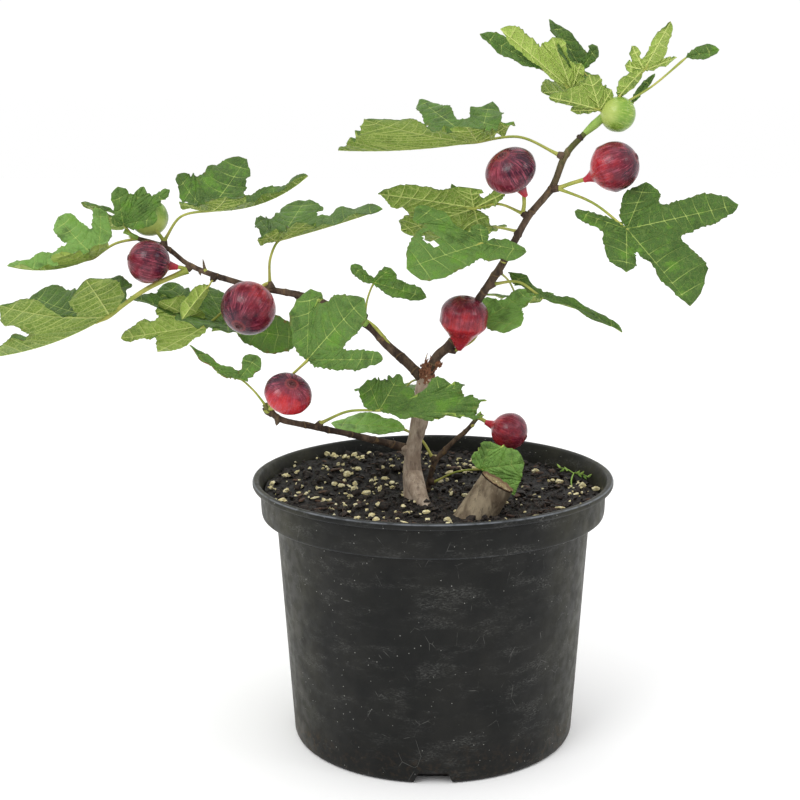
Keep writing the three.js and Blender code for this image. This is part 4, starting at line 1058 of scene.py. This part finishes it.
def scales(piece, centre, radius, count, size, mat, seed):
    """Flakes of bark that stand off a limb round a place."""
    rng = np.random.RandomState(seed)
    for _ in range(count):
        turn = rng.uniform(0, 2 * math.pi)
        out = np.array([math.cos(turn), math.sin(turn), 0.0])
        start = np.array(centre) + out * radius + np.array([0, 0, rng.normal() * size * 1.1])
        away = out * rng.uniform(0.1, 0.7)
        heading = unit(away + np.array([rng.normal() * 0.4, rng.normal() * 0.4, 1.0]))
        length = size * rng.uniform(0.6, 1.3)
        tone = rng.uniform(-1, 1)
        bud(piece, start - out * 0.7, heading, length, size * 0.28, mat, seed, 8, 6, tone=tone)


def twig(piece, points, radii, mat, seed, sides, ridge=0.12, **values):
    path = Path(points)
    rings = max(6, int(path.length / 1.0))
    mean = sum(radii) / len(radii)
    shape = bark_shape(path.length, mean, seed, ridge, [])
    verts, faces, uv = tube(path, lambda s: read_along(radii, s), sides, rings, shape)
    piece.add(verts, faces, mat, uv, **values)


# ---------------------------------------------------------------- figs


def add_fig(piece, fig, root, seed):
    r = fig["radius"]
    neck_foot = root + reach(fig["stalk"])
    axis = direction(*fig["hang"])
    squat = fig.get("squat", 1)
    body_half = 0.95 * squat * r
    neck_reach = (0.95 + fig["neck"]) * r
    total = neck_reach + body_half
    sides, rows = 56, 46
    side = unit(np.cross(axis, [0.2, -1, 0.1]))
    other = np.cross(axis, side)
    turn = circle(sides)
    start_radius = 2.0
    widest = neck_reach + fig.get("rise", 0) * r
    shoulder, bend = fig.get("shoulder", 0.6) * r, fig.get("bend", 1.2)

    def ring(h, grow):
        wide = grow[:, None]
        across = np.cos(turn)[:, None] * side * wide
        return neck_foot + axis * h + across + np.sin(turn)[:, None] * other * wide

    def belly(h):
        if h < widest:
            ball = r * math.sqrt(max(0.0, 1 - ((widest - h) / (r * squat)) ** 2))
            neck = start_radius + (shoulder - start_radius) * (h / neck_reach) ** bend
            return min(r, (ball**8 + neck**8) ** 0.125)
        return r * math.sqrt(max(0.0, 1 - ((h - widest) / (total - widest)) ** 2))

    slope = np.linspace(0, 1, rows)
    levels = total * (0.5 - 0.5 * np.cos(math.pi * slope**0.9))[:-1]
    phase = [6.28 * chance(seed, k) for k in range(4)]
    verts, along, ribs = [], [], []
    for h in levels:
        wide = max(belly(h), 0.0)
        v = h / total
        rib = 0.5 * np.cos(9 * turn + phase[0] + 0.5 * np.sin(2 * turn))
        rib = rib + 0.3 * np.cos(14 * turn + phase[1])
        rib += 0.2 * np.cos(21 * turn + phase[2])
        ribbed = 0.011 * rib * math.sin(math.pi * min(1, v * 1.05))
        verts.append(ring(h, wide * (1 + ribbed + 0.014 * np.cos(2 * turn + phase[3]))))
        along.append(np.full(sides, v))
        ribs.append(rib)
    # the eye: a low ring round a small pit of scales
    for wide, sink in ((3.1, 0.0), (2.5, -0.5), (1.9, -0.45), (1.3, 0.25), (0.7, 0.5)):
        wide *= r / 20
        h = widest + (total - widest) * math.sqrt(max(0, 1 - (wide / r) ** 2)) - sink
        verts.append(ring(h, wide * (1 + 0.06 * np.cos(5 * turn + phase[1]))))
        along.append(np.full(sides, 0.97 if wide > 2.8 * r / 20 else 1.0))
        ribs.append(np.zeros(sides))
    verts, along, ribs = np.vstack(verts), np.concatenate(along), np.concatenate(ribs)
    rows = len(verts) // sides
    faces = ring_faces(rows, sides)
    # painted light and shade: the skin that faces the painted lit side is lighter, the rest darker,
    # between the fig's two glow values
    heading = direction(*fig["painted_lit_side"])
    outward = (verts - (neck_foot + axis * neck_reach * 0.8)) / r
    painted_lit_side = np.clip(0.5 + 0.5 * outward @ heading, 0, 1)
    low, high = fig["glow"]
    uv = np.stack([np.tile(turn / (2 * math.pi), rows), along], -1)
    tone = low + (high - low) * painted_lit_side
    skin = 0 if fig["ripe"] else 1
    piece.add(verts, faces, skin, uv, vein=ribs * 0.5 + 0.5, tone=tone, dry=along)
    path = Path([root, (root + neck_foot) / 2 + np.array([0, 0, 0.6]), neck_foot + axis * 3])
    stalk, faces, uv = tube(path, lambda s: 1.45 + 0.1 * s + 0.7 * math.exp(-s * 9), 12, 14)
    piece.add(stalk, faces, 2, uv, tone=0.2)


# ---------------------------------------------------------------- pot and soil


def lathe(piece, profile, sides):
    """A solid of revolution. The profile is radius, level, and rubbed wear with painted highlight
    on rounded edges, from the axis out and back.
    """
    rings = [ring_at(radius, level, circle(sides)) for radius, level, _ in profile]
    wear_and_highlight = np.concatenate([np.full(sides, float(wear_and_highlight_share)) for _, _, wear_and_highlight_share in profile])
    piece.add(np.vstack(rings), ring_faces(len(profile), sides), 0, dry=wear_and_highlight)


def pot_profile():
    """Half of the pot's section, from its underside, round the rim, to its floor."""
    h, wall = POT["height"], POT["wall"]
    foot, waist, collar, rim = (POT[k + "_radius"] for k in ("foot", "waist", "collar", "rim"))
    step = h - POT["collar_depth"]
    under = h - POT["rim_depth"]
    rows = [(20, 0, 0), (80, 0, 0), (foot - 1.2, 0, 0.2), (foot - 0.2, 0.5, 0.5)]
    rows += [(foot + 0.6, 2.2, 0.25), (foot + 0.8, 3, 0)]
    for k in range(1, 13):
        share = k / 13
        rows.append((foot + 0.8 + (waist - foot - 0.8) * share, 3 + (step - 6) * share, 0))
    # the step out to the collar
    rows += [(waist, step - 3, 0), (waist + 0.5, step - 1.8, 0), (collar - 3.4, step - 0.6, 0)]
    rows += [(collar - 1.6, step, 0.2), (collar - 0.5, step + 0.9, 0.5), (collar, step + 3, 0.15)]
    # the rim
    rows += [(collar + 0.4, step + 10, 0), (collar + 0.8, under - 3, 0)]
    rows += [(collar + 1, under - 0.4, 0)]
    rows += [(collar + 1.8, under + 0.1, 0), (rim - 1.6, under, 0), (rim - 0.5, under + 0.5, 0.5)]
    rows += [(rim, under + 1.5, 0.3), (rim, under + 3.3, 0.1), (rim - 0.5, h - 0.6, 1)]
    rows += [(rim - 1.6, h, 0.4), (rim - 3.4, h, 0.1)]
    # the inside
    inner = collar + 1 - wall
    rows += [(rim - 4.4, h - 0.5, 0.5), (rim - 5.2, h - 1.8, 0), (inner + 1.4, h - 5.5, 0)]
    rows += [(inner, h - 10, 0), (collar - wall, step + 3 + wall, 0)]
    rows += [(waist - wall + 0.6, step - 1.5, 0), (waist - wall, step - 3 + wall, 0)]
    rows += [(foot + 0.8 - wall, 3 + wall, 0), (foot - 4, 3.0, 0), (20, 2 * wall - 2, 0)]
    return rows


def pot_notches(pot):
    """Cuts the drainage notches out of the foot."""
    half, high = POT["notch_width"] / 2, POT["notch_height"]
    outline = [(-half - 1, -1), (half + 1, -1), (half - 3.2, high - 1.2), (half - 4.6, high)]
    outline += [(4.6 - half, high), (3.2 - half, high - 1.2)]
    inner, outer = POT["foot_radius"] - 12, POT["foot_radius"] + 8
    verts, faces = [], []
    for k in range(POT["notches"]):
        a = k * 2 * math.pi / POT["notches"]
        ca, sa, n = math.cos(a), math.sin(a), len(verts)
        for y in (-inner, -outer):
            verts += [((x * ca - y * sa) * MM, (x * sa + y * ca) * MM, z * MM) for x, z in outline]
        m = len(outline)
        faces += [tuple(n + i for i in range(m)), tuple(n + m + i for i in reversed(range(m)))]
        faces += [(n + i, n + m + i, n + m + (i + 1) % m, n + (i + 1) % m) for i in range(m)]
    mesh = bpy.data.meshes.new("notch_cutter")
    mesh.from_pydata(verts, [], faces)
    mesh.update()
    turned = bmesh.new()
    turned.from_mesh(mesh)
    bmesh.ops.recalc_face_normals(turned, faces=turned.faces)
    turned.to_mesh(mesh)
    turned.free()
    cutter = bpy.data.objects.new("notch_cutter", mesh)
    bpy.context.scene.collection.objects.link(cutter)
    cut = pot.modifiers.new("notches", "BOOLEAN")
    cut.operation, cut.solver, cut.object = "DIFFERENCE", "EXACT", cutter
    graph = bpy.context.evaluated_depsgraph_get()
    done = bpy.data.meshes.new_from_object(pot.evaluated_get(graph))
    pot.modifiers.clear()
    old = pot.data
    pot.data = done
    bpy.data.meshes.remove(old)
    bpy.data.objects.remove(cutter)
    done.set_sharp_from_angle(angle=math.radians(34))


def blob(detail):
    """The points and faces of a ball of radius 1."""
    ball = bmesh.new()
    bmesh.ops.create_icosphere(ball, subdivisions=detail, radius=1.0)
    verts = np.array([v.co[:] for v in ball.verts])
    faces = [tuple(v.index for v in f.verts) for f in ball.faces]
    ball.free()
    return verts, faces


def soil_level(x, y):
    """How high the filling stands at a place, without its crumbs."""
    far = np.hypot(x, y)
    wavy = lump(np.stack([x, y, 0 * x], -1), 34, 5, 3)
    rise = 3.0 * np.exp(-((x + 14) ** 2 + y**2) / 900)
    rise = rise + (8 - 4 * x / 130) * step_up(far, 50, 128)
    return SOIL_LEVEL + 1.8 * wavy + rise


def level_at(x, y):
    return float(soil_level(np.array([x]), np.array([y]))[0])


def heap(piece, places, sizes, squash, seed, detail, rough, sunk, tilt=0.5):
    """Lumps of a loose material, each with its own shape, lying on the filling."""
    ball, faces = blob(detail)
    rng = np.random.RandomState(seed)
    for x, y, size in zip(places[:, 0], places[:, 1], sizes):
        a, b, c = rng.normal(size=(3, 3)) * 1.8
        waves = np.sin(ball @ a + a[0]) + 0.7 * np.sin(1.7 * ball @ b + b[1])
        bumps = 1 + rough * (waves + 0.5 * np.sin(2.9 * ball @ c))
        shape = ball * bumps[:, None] * np.array(squash) * rng.uniform(0.8, 1.25, 3)
        yaw, lean = rng.uniform(0, 2 * math.pi), rng.uniform(-tilt, tilt)
        ca, sa, cl, sl = math.cos(yaw), math.sin(yaw), math.cos(lean), math.sin(lean)
        turn = np.array([[ca, -sa, 0], [sa, ca, 0], [0, 0, 1]])
        turn = turn @ np.array([[1, 0, 0], [0, cl, -sl], [0, sl, cl]])
        shape = shape @ turn.T * size
        rise = size * squash[2] * (1 - sunk)
        piece.add(shape + [x, y, level_at(x, y) + rise], faces, 0, tone=rng.uniform(-1, 1))


def disc_places(rng, count, radius):
    """Random places on the filling, away from the stems."""
    made = []
    while len(made) < count:
        x, y = rng.uniform(-radius, radius, 2)
        if math.hypot(x, y) <= radius and all(math.hypot(x - a, y - b) >= r for a, b, r in STEMS):
            made.append((x, y))
    return np.array(made)


def soil_top(piece):
    """The filling: a closed body whose top is crumbly."""
    rings, sides, edge = 96, 260, 130.6
    turn = circle(sides)
    radii = edge * np.linspace(0.006, 1, rings) ** 0.8
    x, y = radii[:, None] * np.cos(turn), radii[:, None] * np.sin(turn)
    level = soil_level(x.ravel(), y.ravel())
    q = np.stack([x.ravel(), y.ravel(), 0 * x.ravel()], -1)
    level = level + 1.3 * lump(q, 6.0, 2, 4) + 0.8 * lump(q, 2.4, 8, 2) - 0.8
    top = np.concatenate([q[:, :2], level[:, None]], 1)
    # down inside the pot's wall, past its step, to its floor
    below = ((edge, SOIL_LEVEL - 6), (128.4, 183.9), (119, 177.5), (108, 6.2), (6, 3))
    skirt = [ring_at(radius, level, turn) for radius, level in below]
    verts = np.vstack([top] + skirt)
    piece.add(verts, ring_faces(rings + len(skirt), sides), 0)


# ---------------------------------------------------------------- the model

# where the stems stand in the filling: x, y, clear radius
STEMS = [(-12, 0, 12), (30, -41, 17), (-5, 16, 4)]
# how many of each lie loose on the filling; grains are thinned out, and heaped up again below
CRUMBS, GRAINS, CHIPS, TWIGS = 2300, 560, 60, 70
# heaps of perlite grains: x, y, spread, count
PERLITE_HEAPS = [
    (36, 100, 9, 16), (106, 34, 9, 12), (-80, 88, 16, 16), (-70, 20, 22, 16), (-44, -40, 20, 8),
    (118, 8, 7, 7), (28, 84, 7, 8),
]
# pale slivers on the filling: x, y, turn, length
SLIVERS = [
    (95, -52, -0.7, 9), (74, -78, 0.4, 7), (-20, -96, 2.6, 8), (104, -30, 1.2, 6),
    (-90, -30, 0.3, 7),
]
# buds on the limbs: share along the limb, heading, length, radius, 0 brown 1 yellow 2 green
BUDS = {
    "bough_left": [
        (0.25, (118, -30), 10, 3.2, 2), (0.77, (98, -10), 11, 1.2, 0), (0.77, (95, -10), 4, 2.0, 1),
        (0.79, (285, -20), 5, 1.4, 0), (1.0, (146, -20), 10, 1.9, 2), (1.0, (168, -20), 8, 1.4, 1),
    ],
    "bough_right": [
        (0.497, (72, -40), 6, 2.6, 1), (0.5, (110, -50), 5, 2.0, 1), (0.975, (60, -5), 4.5, 2.9, 0),
    ],
    "branch_low_left": [
        (0.97, (150, -10), 9, 3.2, 0), (0.93, (262, -20), 6, 2.3, 0), (0.99, (165, -30), 6, 1.9, 1),
    ],
    "shoot_right": [
        (1.0, (62, -15), 7, 1.7, 2), (1.0, (28, -20), 7, 1.3, 2), (0.9, (20, -30), 4, 1.6, 1),
    ],
}

OLD_BARK = bark_paint(
    "bark_old", rgb(140, 122, 106), rgb(184, 168, 150), rgb(84, 68, 56), rgb(120, 108, 78),
    rgb(76, 60, 46),
)
STUMP_BARK = bark_paint(
    "bark_weathered", rgb(112, 98, 80), rgb(158, 144, 120), rgb(58, 48, 38), rgb(110, 104, 76),
    rgb(70, 56, 44),
)
YOUNG_BARK = bark_paint(
    "bark_young", rgb(58, 45, 37), rgb(104, 86, 70), rgb(30, 23, 20), rgb(110, 126, 54),
    rgb(128, 104, 70),
)
STALK = stalk_paint()
# the bright leaf colours reach past a leaf's own pale green, as painted light for leaves in dim
# light
UPPER = leaf_paint(
    "leaf_upper", rgb(48, 78, 26), rgb(141, 188, 95), rgb(34, 62, 20), rgb(92, 140, 36),
    rgb(172, 192, 104),
)
UNDER = leaf_paint(
    "leaf_under", rgb(83, 118, 32), rgb(220, 245, 122), rgb(70, 104, 34), rgb(136, 162, 62),
    rgb(196, 208, 122), True,
)
# fig skins run from deep, their painted shade, through dark to bright, their painted light
RIPE = fig_paint(
    "fig_skin_ripe", rgb(48, 15, 34), rgb(104, 25, 42), rgb(180, 42, 46), rgb(178, 52, 66),
    rgb(186, 90, 108), rgb(144, 92, 128),
)
GREEN = fig_paint(
    "fig_skin_green", rgb(96, 130, 44), rgb(118, 154, 56), rgb(150, 178, 76), rgb(172, 188, 100),
    rgb(202, 214, 124), rgb(194, 212, 140), False,
)
SAWN = wood_paint("wood_sawn", rgb(170, 150, 110), rgb(92, 80, 54), 1.7)
TORN = wood_paint("wood_torn", rgb(132, 88, 64), rgb(62, 36, 26), 2.6)
PLASTIC = plastic_paint()
PEAT = crumb_paint("peat", rgb(16, 13, 12), rgb(34, 28, 25), rgb(66, 52, 42), 5)
CRUMB = crumb_paint("peat_crumb", rgb(20, 16, 14), rgb(52, 42, 35), rgb(136, 112, 84), 2, 0.45)
PERLITE = crumb_paint(
    "perlite", rgb(200, 186, 134), rgb(238, 230, 192), rgb(252, 249, 234), 2.5, 0.7,
)
CHIP = crumb_paint("wood_chip", rgb(52, 36, 28), rgb(88, 64, 48), rgb(136, 108, 84), 3)
SPRIG = leaf_paint(
    "sprig", rgb(96, 140, 56), rgb(218, 240, 126), rgb(80, 120, 46), rgb(140, 170, 80),
    rgb(170, 190, 110),
)

# pot
pot = Piece("nursery_pot")
lathe(pot, pot_profile(), 168)
pot_piece = pot.build([PLASTIC], "pot_plastic", "pot", 34)
pot_notches(pot_piece)

# filling
filling = Piece("filling")
soil_top(filling)
filling.build([PEAT], "potting_soil", "soil")
rng = np.random.RandomState(11)
crumbs = Piece("peat_crumbs")
places = disc_places(rng, CRUMBS, 127)
heap(crumbs, places, rng.gamma(2.6, 0.52, CRUMBS).clip(0.6, 4.2), (1, 0.85, 0.7), 3, 1, 0.2, 0.45)
crumbs.build([CRUMB], "potting_soil", None, 50)
perlite = Piece("perlite_grains")
places = disc_places(rng, GRAINS, 126)
shares = [(0.75 if x < 0 else 0.3) * (0.5 if y < -30 else 1) for x, y in places]
places = places[np.array([rng.uniform() < share for share in shares])]
for x, y, spread, count in PERLITE_HEAPS:
    places = np.vstack([places, np.array([x, y]) + rng.normal(size=(count, 2)) * spread])
sizes = rng.gamma(4, 0.38, len(places)).clip(0.6, 3.2)
heap(perlite, places, sizes, (1, 0.72, 0.6), 5, 2, 0.26, 0.12)
perlite.build([PERLITE], "potting_soil", None, 30)
chips = Piece("bark_chips")
places = disc_places(rng, CHIPS, 124)
heap(chips, places, rng.uniform(1.6, 4.4, len(places)), (1.5, 0.6, 0.28), 9, 2, 0.12, 0.0, 0.7)
for _ in range(TWIGS):
    x, y = disc_places(rng, 1, 120)[0]
    yaw, size = rng.uniform(0, 6.28), rng.uniform(5, 16)
    level = level_at(x, y) + rng.uniform(0.6, 2.2)
    middle = (0, rng.uniform(-0.6, 0.6), rng.uniform(0, 2))
    shape = ((-0.5, 0, 0), middle, (0.5, rng.uniform(-0.5, 0.5), 0))
    ends = [(x + math.cos(yaw + b) * size * s, y + math.sin(yaw + b) * size * s, level + h)
            for s, b, h in shape]
    thick = rng.uniform(0.18, 0.5)
    verts, faces, uv = tube(Path(ends), lambda s, w=thick: w * (1 - 0.5 * s), 6, 10)
    chips.add(verts, faces, 0, uv, tone=rng.uniform(-1, 1))
for x, y, yaw, size in SLIVERS:
    half = np.array([math.cos(yaw), math.sin(yaw), 0.15]) * size / 2
    middle = np.array([x, y, level_at(x, y) + 2.4])
    twig(chips, [middle - half, middle, middle + half], [0.3, 0.9, 0.3], 1, 3, 8)
chips.build([CHIP, PERLITE], "potting_soil", None, 40)

# a weed seedling near the rim
weed = Piece("weed_sprig")
foot = np.array([112.0, 20.0, SOIL_LEVEL - 2])
fork = foot + [2, 22, 12]
twig(weed, [foot, foot + [-1, 10, 8], fork], [0.6, 0.5], 0, 3, 8)
for ahead, reach_far in (([-0.9, 0.3, 0.3], 12), ([0.8, -0.5, -0.1], 13), ([0.6, -0.8, 0.1], 9)):
    end = fork + unit(np.array(ahead)) * reach_far
    twig(weed, [fork, (fork + end) / 2 + [0, 0, 1.2], end], [0.5, 0.35], 0, 4, 8)
    for share, side in ((0.45, 1), (0.7, -1), (1.0, 1)):
        spot = fork + (end - fork) * share
        heading = unit(np.array(ahead) + [0, 0.3 * side, 0.8 * side])
        bud(weed, spot, heading, 4.2, 0.9, 0, 5, 8, 8, tone=0.8 * side)
weed.build([SPRIG], "foliage", None, 50)

# trunk
trunk = Piece("trunk_bark")
verts, faces, uv, marks = limb_tube("trunk", 4, 56, 0.9, 0.75, 0, [0, 0, 0, 0])
torn = step_up(uv[:, 1] + 0.05 * lump(verts, 3, 6, 2), 0.86, 0.93)
axis = np.array([-6.0, 0, 0])
verts = verts + (verts - axis) * [1, 1, 0] * (0.22 * torn * lump(verts, 2.2, 8, 3))[:, None]
verts[:, 2] += torn * np.clip(lump(verts, 1.8, 12, 2), -0.4, 1) * 3.0
trunk.add(verts, faces, [1 if torn[face[0]] > 0.5 else 0 for face in faces], uv, **marks)
splinters(trunk, (-2, -1.5, 291), (2.2, 1.4, 1.6), 18, 9, 1, 5, (0.2, -0.1, 1))
splinters(trunk, (2.5, -2, 292), (1.4, 1, 1.2), 9, 6, 1, 6, (0.5, -0.2, 1))
scales(trunk, (-5.5, 0, 286), 5.8, 34, 2.8, 1, 8)
# a low foot at its front, and a collar under the low branch
foot_points = [(-16, -1, 206), (-13.5, -8, 200), (-9.5, -17, 192), (-4, -26, 185)]
twig(trunk, foot_points, [8.0, 7.2, 5.8, 3.6], 0, 3, 24)
branch = Path(LIMBS["branch_low_left"]["points"])
heading = unit(branch.at(0.12) - branch.at(0))
bud(trunk, branch.at(0), heading, 21, 5.4, 0, 7, 20, 16, tone=0.1)
trunk.build([OLD_BARK, TORN, YOUNG_BARK], "old_bark", "trunk", 60)

# stump
stump = Piece("sawn_stump")
limb = LIMBS["cut_stump"]
path = Path(limb["points"])
shape = bark_shape(path.length, 14, 21, 0.7, [])
sides = 64
verts, faces, uv = tube(path, lambda s: read_along(limb["radii"], s), sides, 44, shape)
stump.add(verts, faces[:-1], 0, uv)
# the sawn face: rings from the edge to the pith, by their share of its radius; bark stands
# over the outer ones by a height in millimetres
edge = verts[-sides:]
centre = path.at(1.0)
ahead = unit(path.at(1.0) - path.at(0.9))
rows, flat, bark_ring = [], [], []
barked = {1.0: 0.9, 0.985: 1.5, 0.95: 1.1, 0.9: 0.2}
for share in (*barked, 0.82, 0.72, 0.62, 0.52, 0.42, 0.32, 0.22, 0.13, 0.05):
    ring = centre + (edge - centre) * share
    rough = 0.9 if share in barked else 0.45
    lift = barked.get(share, 0.0) + rough * lump(ring, 2.5, 4, 3)
    rows.append(ring + ahead * lift[:, None])
    bark_ring.append(np.full(sides, 1.0 if share in barked else 0.0))
    flat.append(np.stack([np.full(sides, share * 13.5), np.linspace(0, 6.28, sides)], -1))
disc = ring_faces(len(rows), sides, False, True)
stump.add(np.vstack(rows), disc, 1, np.vstack(flat), dry=np.concatenate(bark_ring))
stump.build([STUMP_BARK, SAWN], "old_bark", "cut_stump", 45)

# boughs
for name, seed, spacing, young in (
    ("bough_left", 7, 21, [0, 0.1, 0.25, 0.4]),
    ("bough_right", 9, 23, [0, 0.1, 0.45, 0.7]),
    ("branch_low_left", 12, 17, [0.0, 0.1, 0.2, 0.3]),
    ("shoot_right", 15, 19, [0, 0.05, 0.2, 0.6]),
):
    wood = Piece(name + "_bark")
    verts, faces, uv, marks = limb_tube(name, seed, 30, 0.75, 0.3, spacing, young)
    wood.add(verts, faces, 0, uv, **marks)
    path = Path(LIMBS[name]["points"])
    for at, heading, length, radius, mat in BUDS[name]:
        bud(wood, path.at(at), direction(*heading), length, radius, mat, seed, tone=0.3, vein=0.2)
    if name == "bough_left":
        # a strip of bark that peels off: share along the bough, and how far off it
        strip = ((0.15, 0.9), (0.19, 1.35), (0.225, 1.5), (0.255, 1.9))
        peel = [path.at(at) + np.array([0.5, -1.4, 2.2]) * off for at, off in strip]
        twig(wood, peel, [0.5, 1.3, 1.3, 0.4], 1, 3, 10)
    wood.build([YOUNG_BARK, STALK, SPRIG], "young_bark", name, 50)

# foliage: from every limb's place a spur, on it stalks with their leaves, and figs
for name, mass in FOLIAGE.items():
    leaves, twigs, fruit = Piece(name + "_leaves"), Piece(name + "_twigs"), Piece(name + "_fruit")
    _, foot, tip, thick = leaf_root(mass, {})
    at_end, stout = mass["at"] == 1, mass["stout"]
    start = [thick, thick, 2.3] if at_end else [3.4, 2.3]
    if stout:
        start = [thick, stout, stout, 2.4]
    seed = sum(map(ord, name))
    inner = foot if at_end else foot + unit(tip - foot) * thick * 0.3
    spine = [inner, (inner + tip) / 2, tip]
    twig(twigs, spine, start, 2 if stout else 1, seed, 18, 0.2, tone=0.6 if at_end else 0.2)
    for leaf in mass["leaves"]:
        add_leaf(leaves, twigs, leaf, leaf_root(mass, leaf)[0])
    for k, fig in enumerate(mass["figs"]):
        add_fig(fruit, fig, leaf_root(mass, fig)[0], seed + k)
    twigs.build([STALK, YOUNG_BARK, SPRIG], "foliage", name, 50)
    if leaves.count:
        leaves.build([UPPER, UNDER], "foliage", name, 60)
    if fruit.count:
        fruit.build([RIPE, GREEN, STALK], "foliage", name, 45)

# ---------------------------------------------------------------- floor, light, camera

white = Paint("floor_white", Specular_IOR_Level=0.1)
white.done(rgb(252, 252, 252), 0.9)
floor_mesh = bpy.data.meshes.new("floor")
floor_mesh.from_pydata([(-9, -9, 0), (9, -9, 0), (9, 9, 0), (-9, 9, 0)], [], [(0, 1, 2, 3)])
floor_mesh.materials.append(white.material)
floor = bpy.data.objects.new("floor", floor_mesh)
floor.location.z = -0.0006
bpy.context.scene.collection.objects.link(floor)

FRONT_LIGHT, TOP_LIGHT = 0.4, 1.25
scene = bpy.context.scene
scene.view_settings.view_transform = "Standard"
world = bpy.data.worlds.new("studio")
world.use_nodes = True
sky = world.node_tree


def sky_math(op, a, b, c=0.0, clamp=False):
    made = sky.nodes.new("ShaderNodeMath")
    made.operation, made.use_clamp = op, clamp
    for socket, value in zip(made.inputs, (a, b, c)):
        if isinstance(value, bpy.types.NodeSocket):
            sky.links.new(value, socket)
        else:
            socket.default_value = value
    return made.outputs[0]


# white all round behind the plant and overhead, dimmer on the side that faces its front
split = sky.nodes.new("ShaderNodeSeparateXYZ")
sky.links.new(sky.nodes.new("ShaderNodeTexCoord").outputs["Generated"], split.inputs[0])
behind = sky_math("MULTIPLY_ADD", split.outputs[1], 1.4, 0.75, True)
overhead = sky_math("MULTIPLY", split.outputs[2], 1.5, clamp=True)
ahead_level = sky_math("ADD", FRONT_LIGHT, sky_math("MULTIPLY", behind, 1 - FRONT_LIGHT))
zenith = sky_math("MULTIPLY", overhead, sky_math("SUBTRACT", TOP_LIGHT, ahead_level))
sky.links.new(sky_math("ADD", ahead_level, zenith), sky.nodes["Background"].inputs["Strength"])
sky.nodes["Background"].inputs["Color"].default_value = (1, 1, 1, 1)
scene.world = world


def softbox(name, place, target, size, power):
    light = bpy.data.lights.new(name, "AREA")
    light.shape, light.size, light.energy = "SQUARE", size, power
    lamp = bpy.data.objects.new(name, light)
    lamp.location = place
    lamp.rotation_euler = (Vector(target) - Vector(place)).to_track_quat("-Z", "Y").to_euler()
    scene.collection.objects.link(lamp)


softbox("key", (-1.0, -1.4, 1.7), (0, 0, 0.3), 0.9, 15)
softbox("edge", (1.3, -0.7, 1.2), (0, 0, 0.3), 0.3, 2)

PITCH = 11.43
PHOTO_SIZE, PHOTO_FOCUS, POT_AXIS_PX = 800, 1450, 433
camera_data = bpy.data.cameras.new("camera")
camera_data.sensor_width = 36
camera_data.lens = 36 * PHOTO_FOCUS / PHOTO_SIZE
camera_data.shift_x = (PHOTO_SIZE / 2 - POT_AXIS_PX) / PHOTO_SIZE
camera_data.clip_start = 0.01
camera = bpy.data.objects.new("camera", camera_data)
camera.location = (0, -1.098, 0.487)
camera.rotation_euler = (math.radians(90 - PITCH), 0, 0)
scene.collection.objects.link(camera)
scene.camera = camera
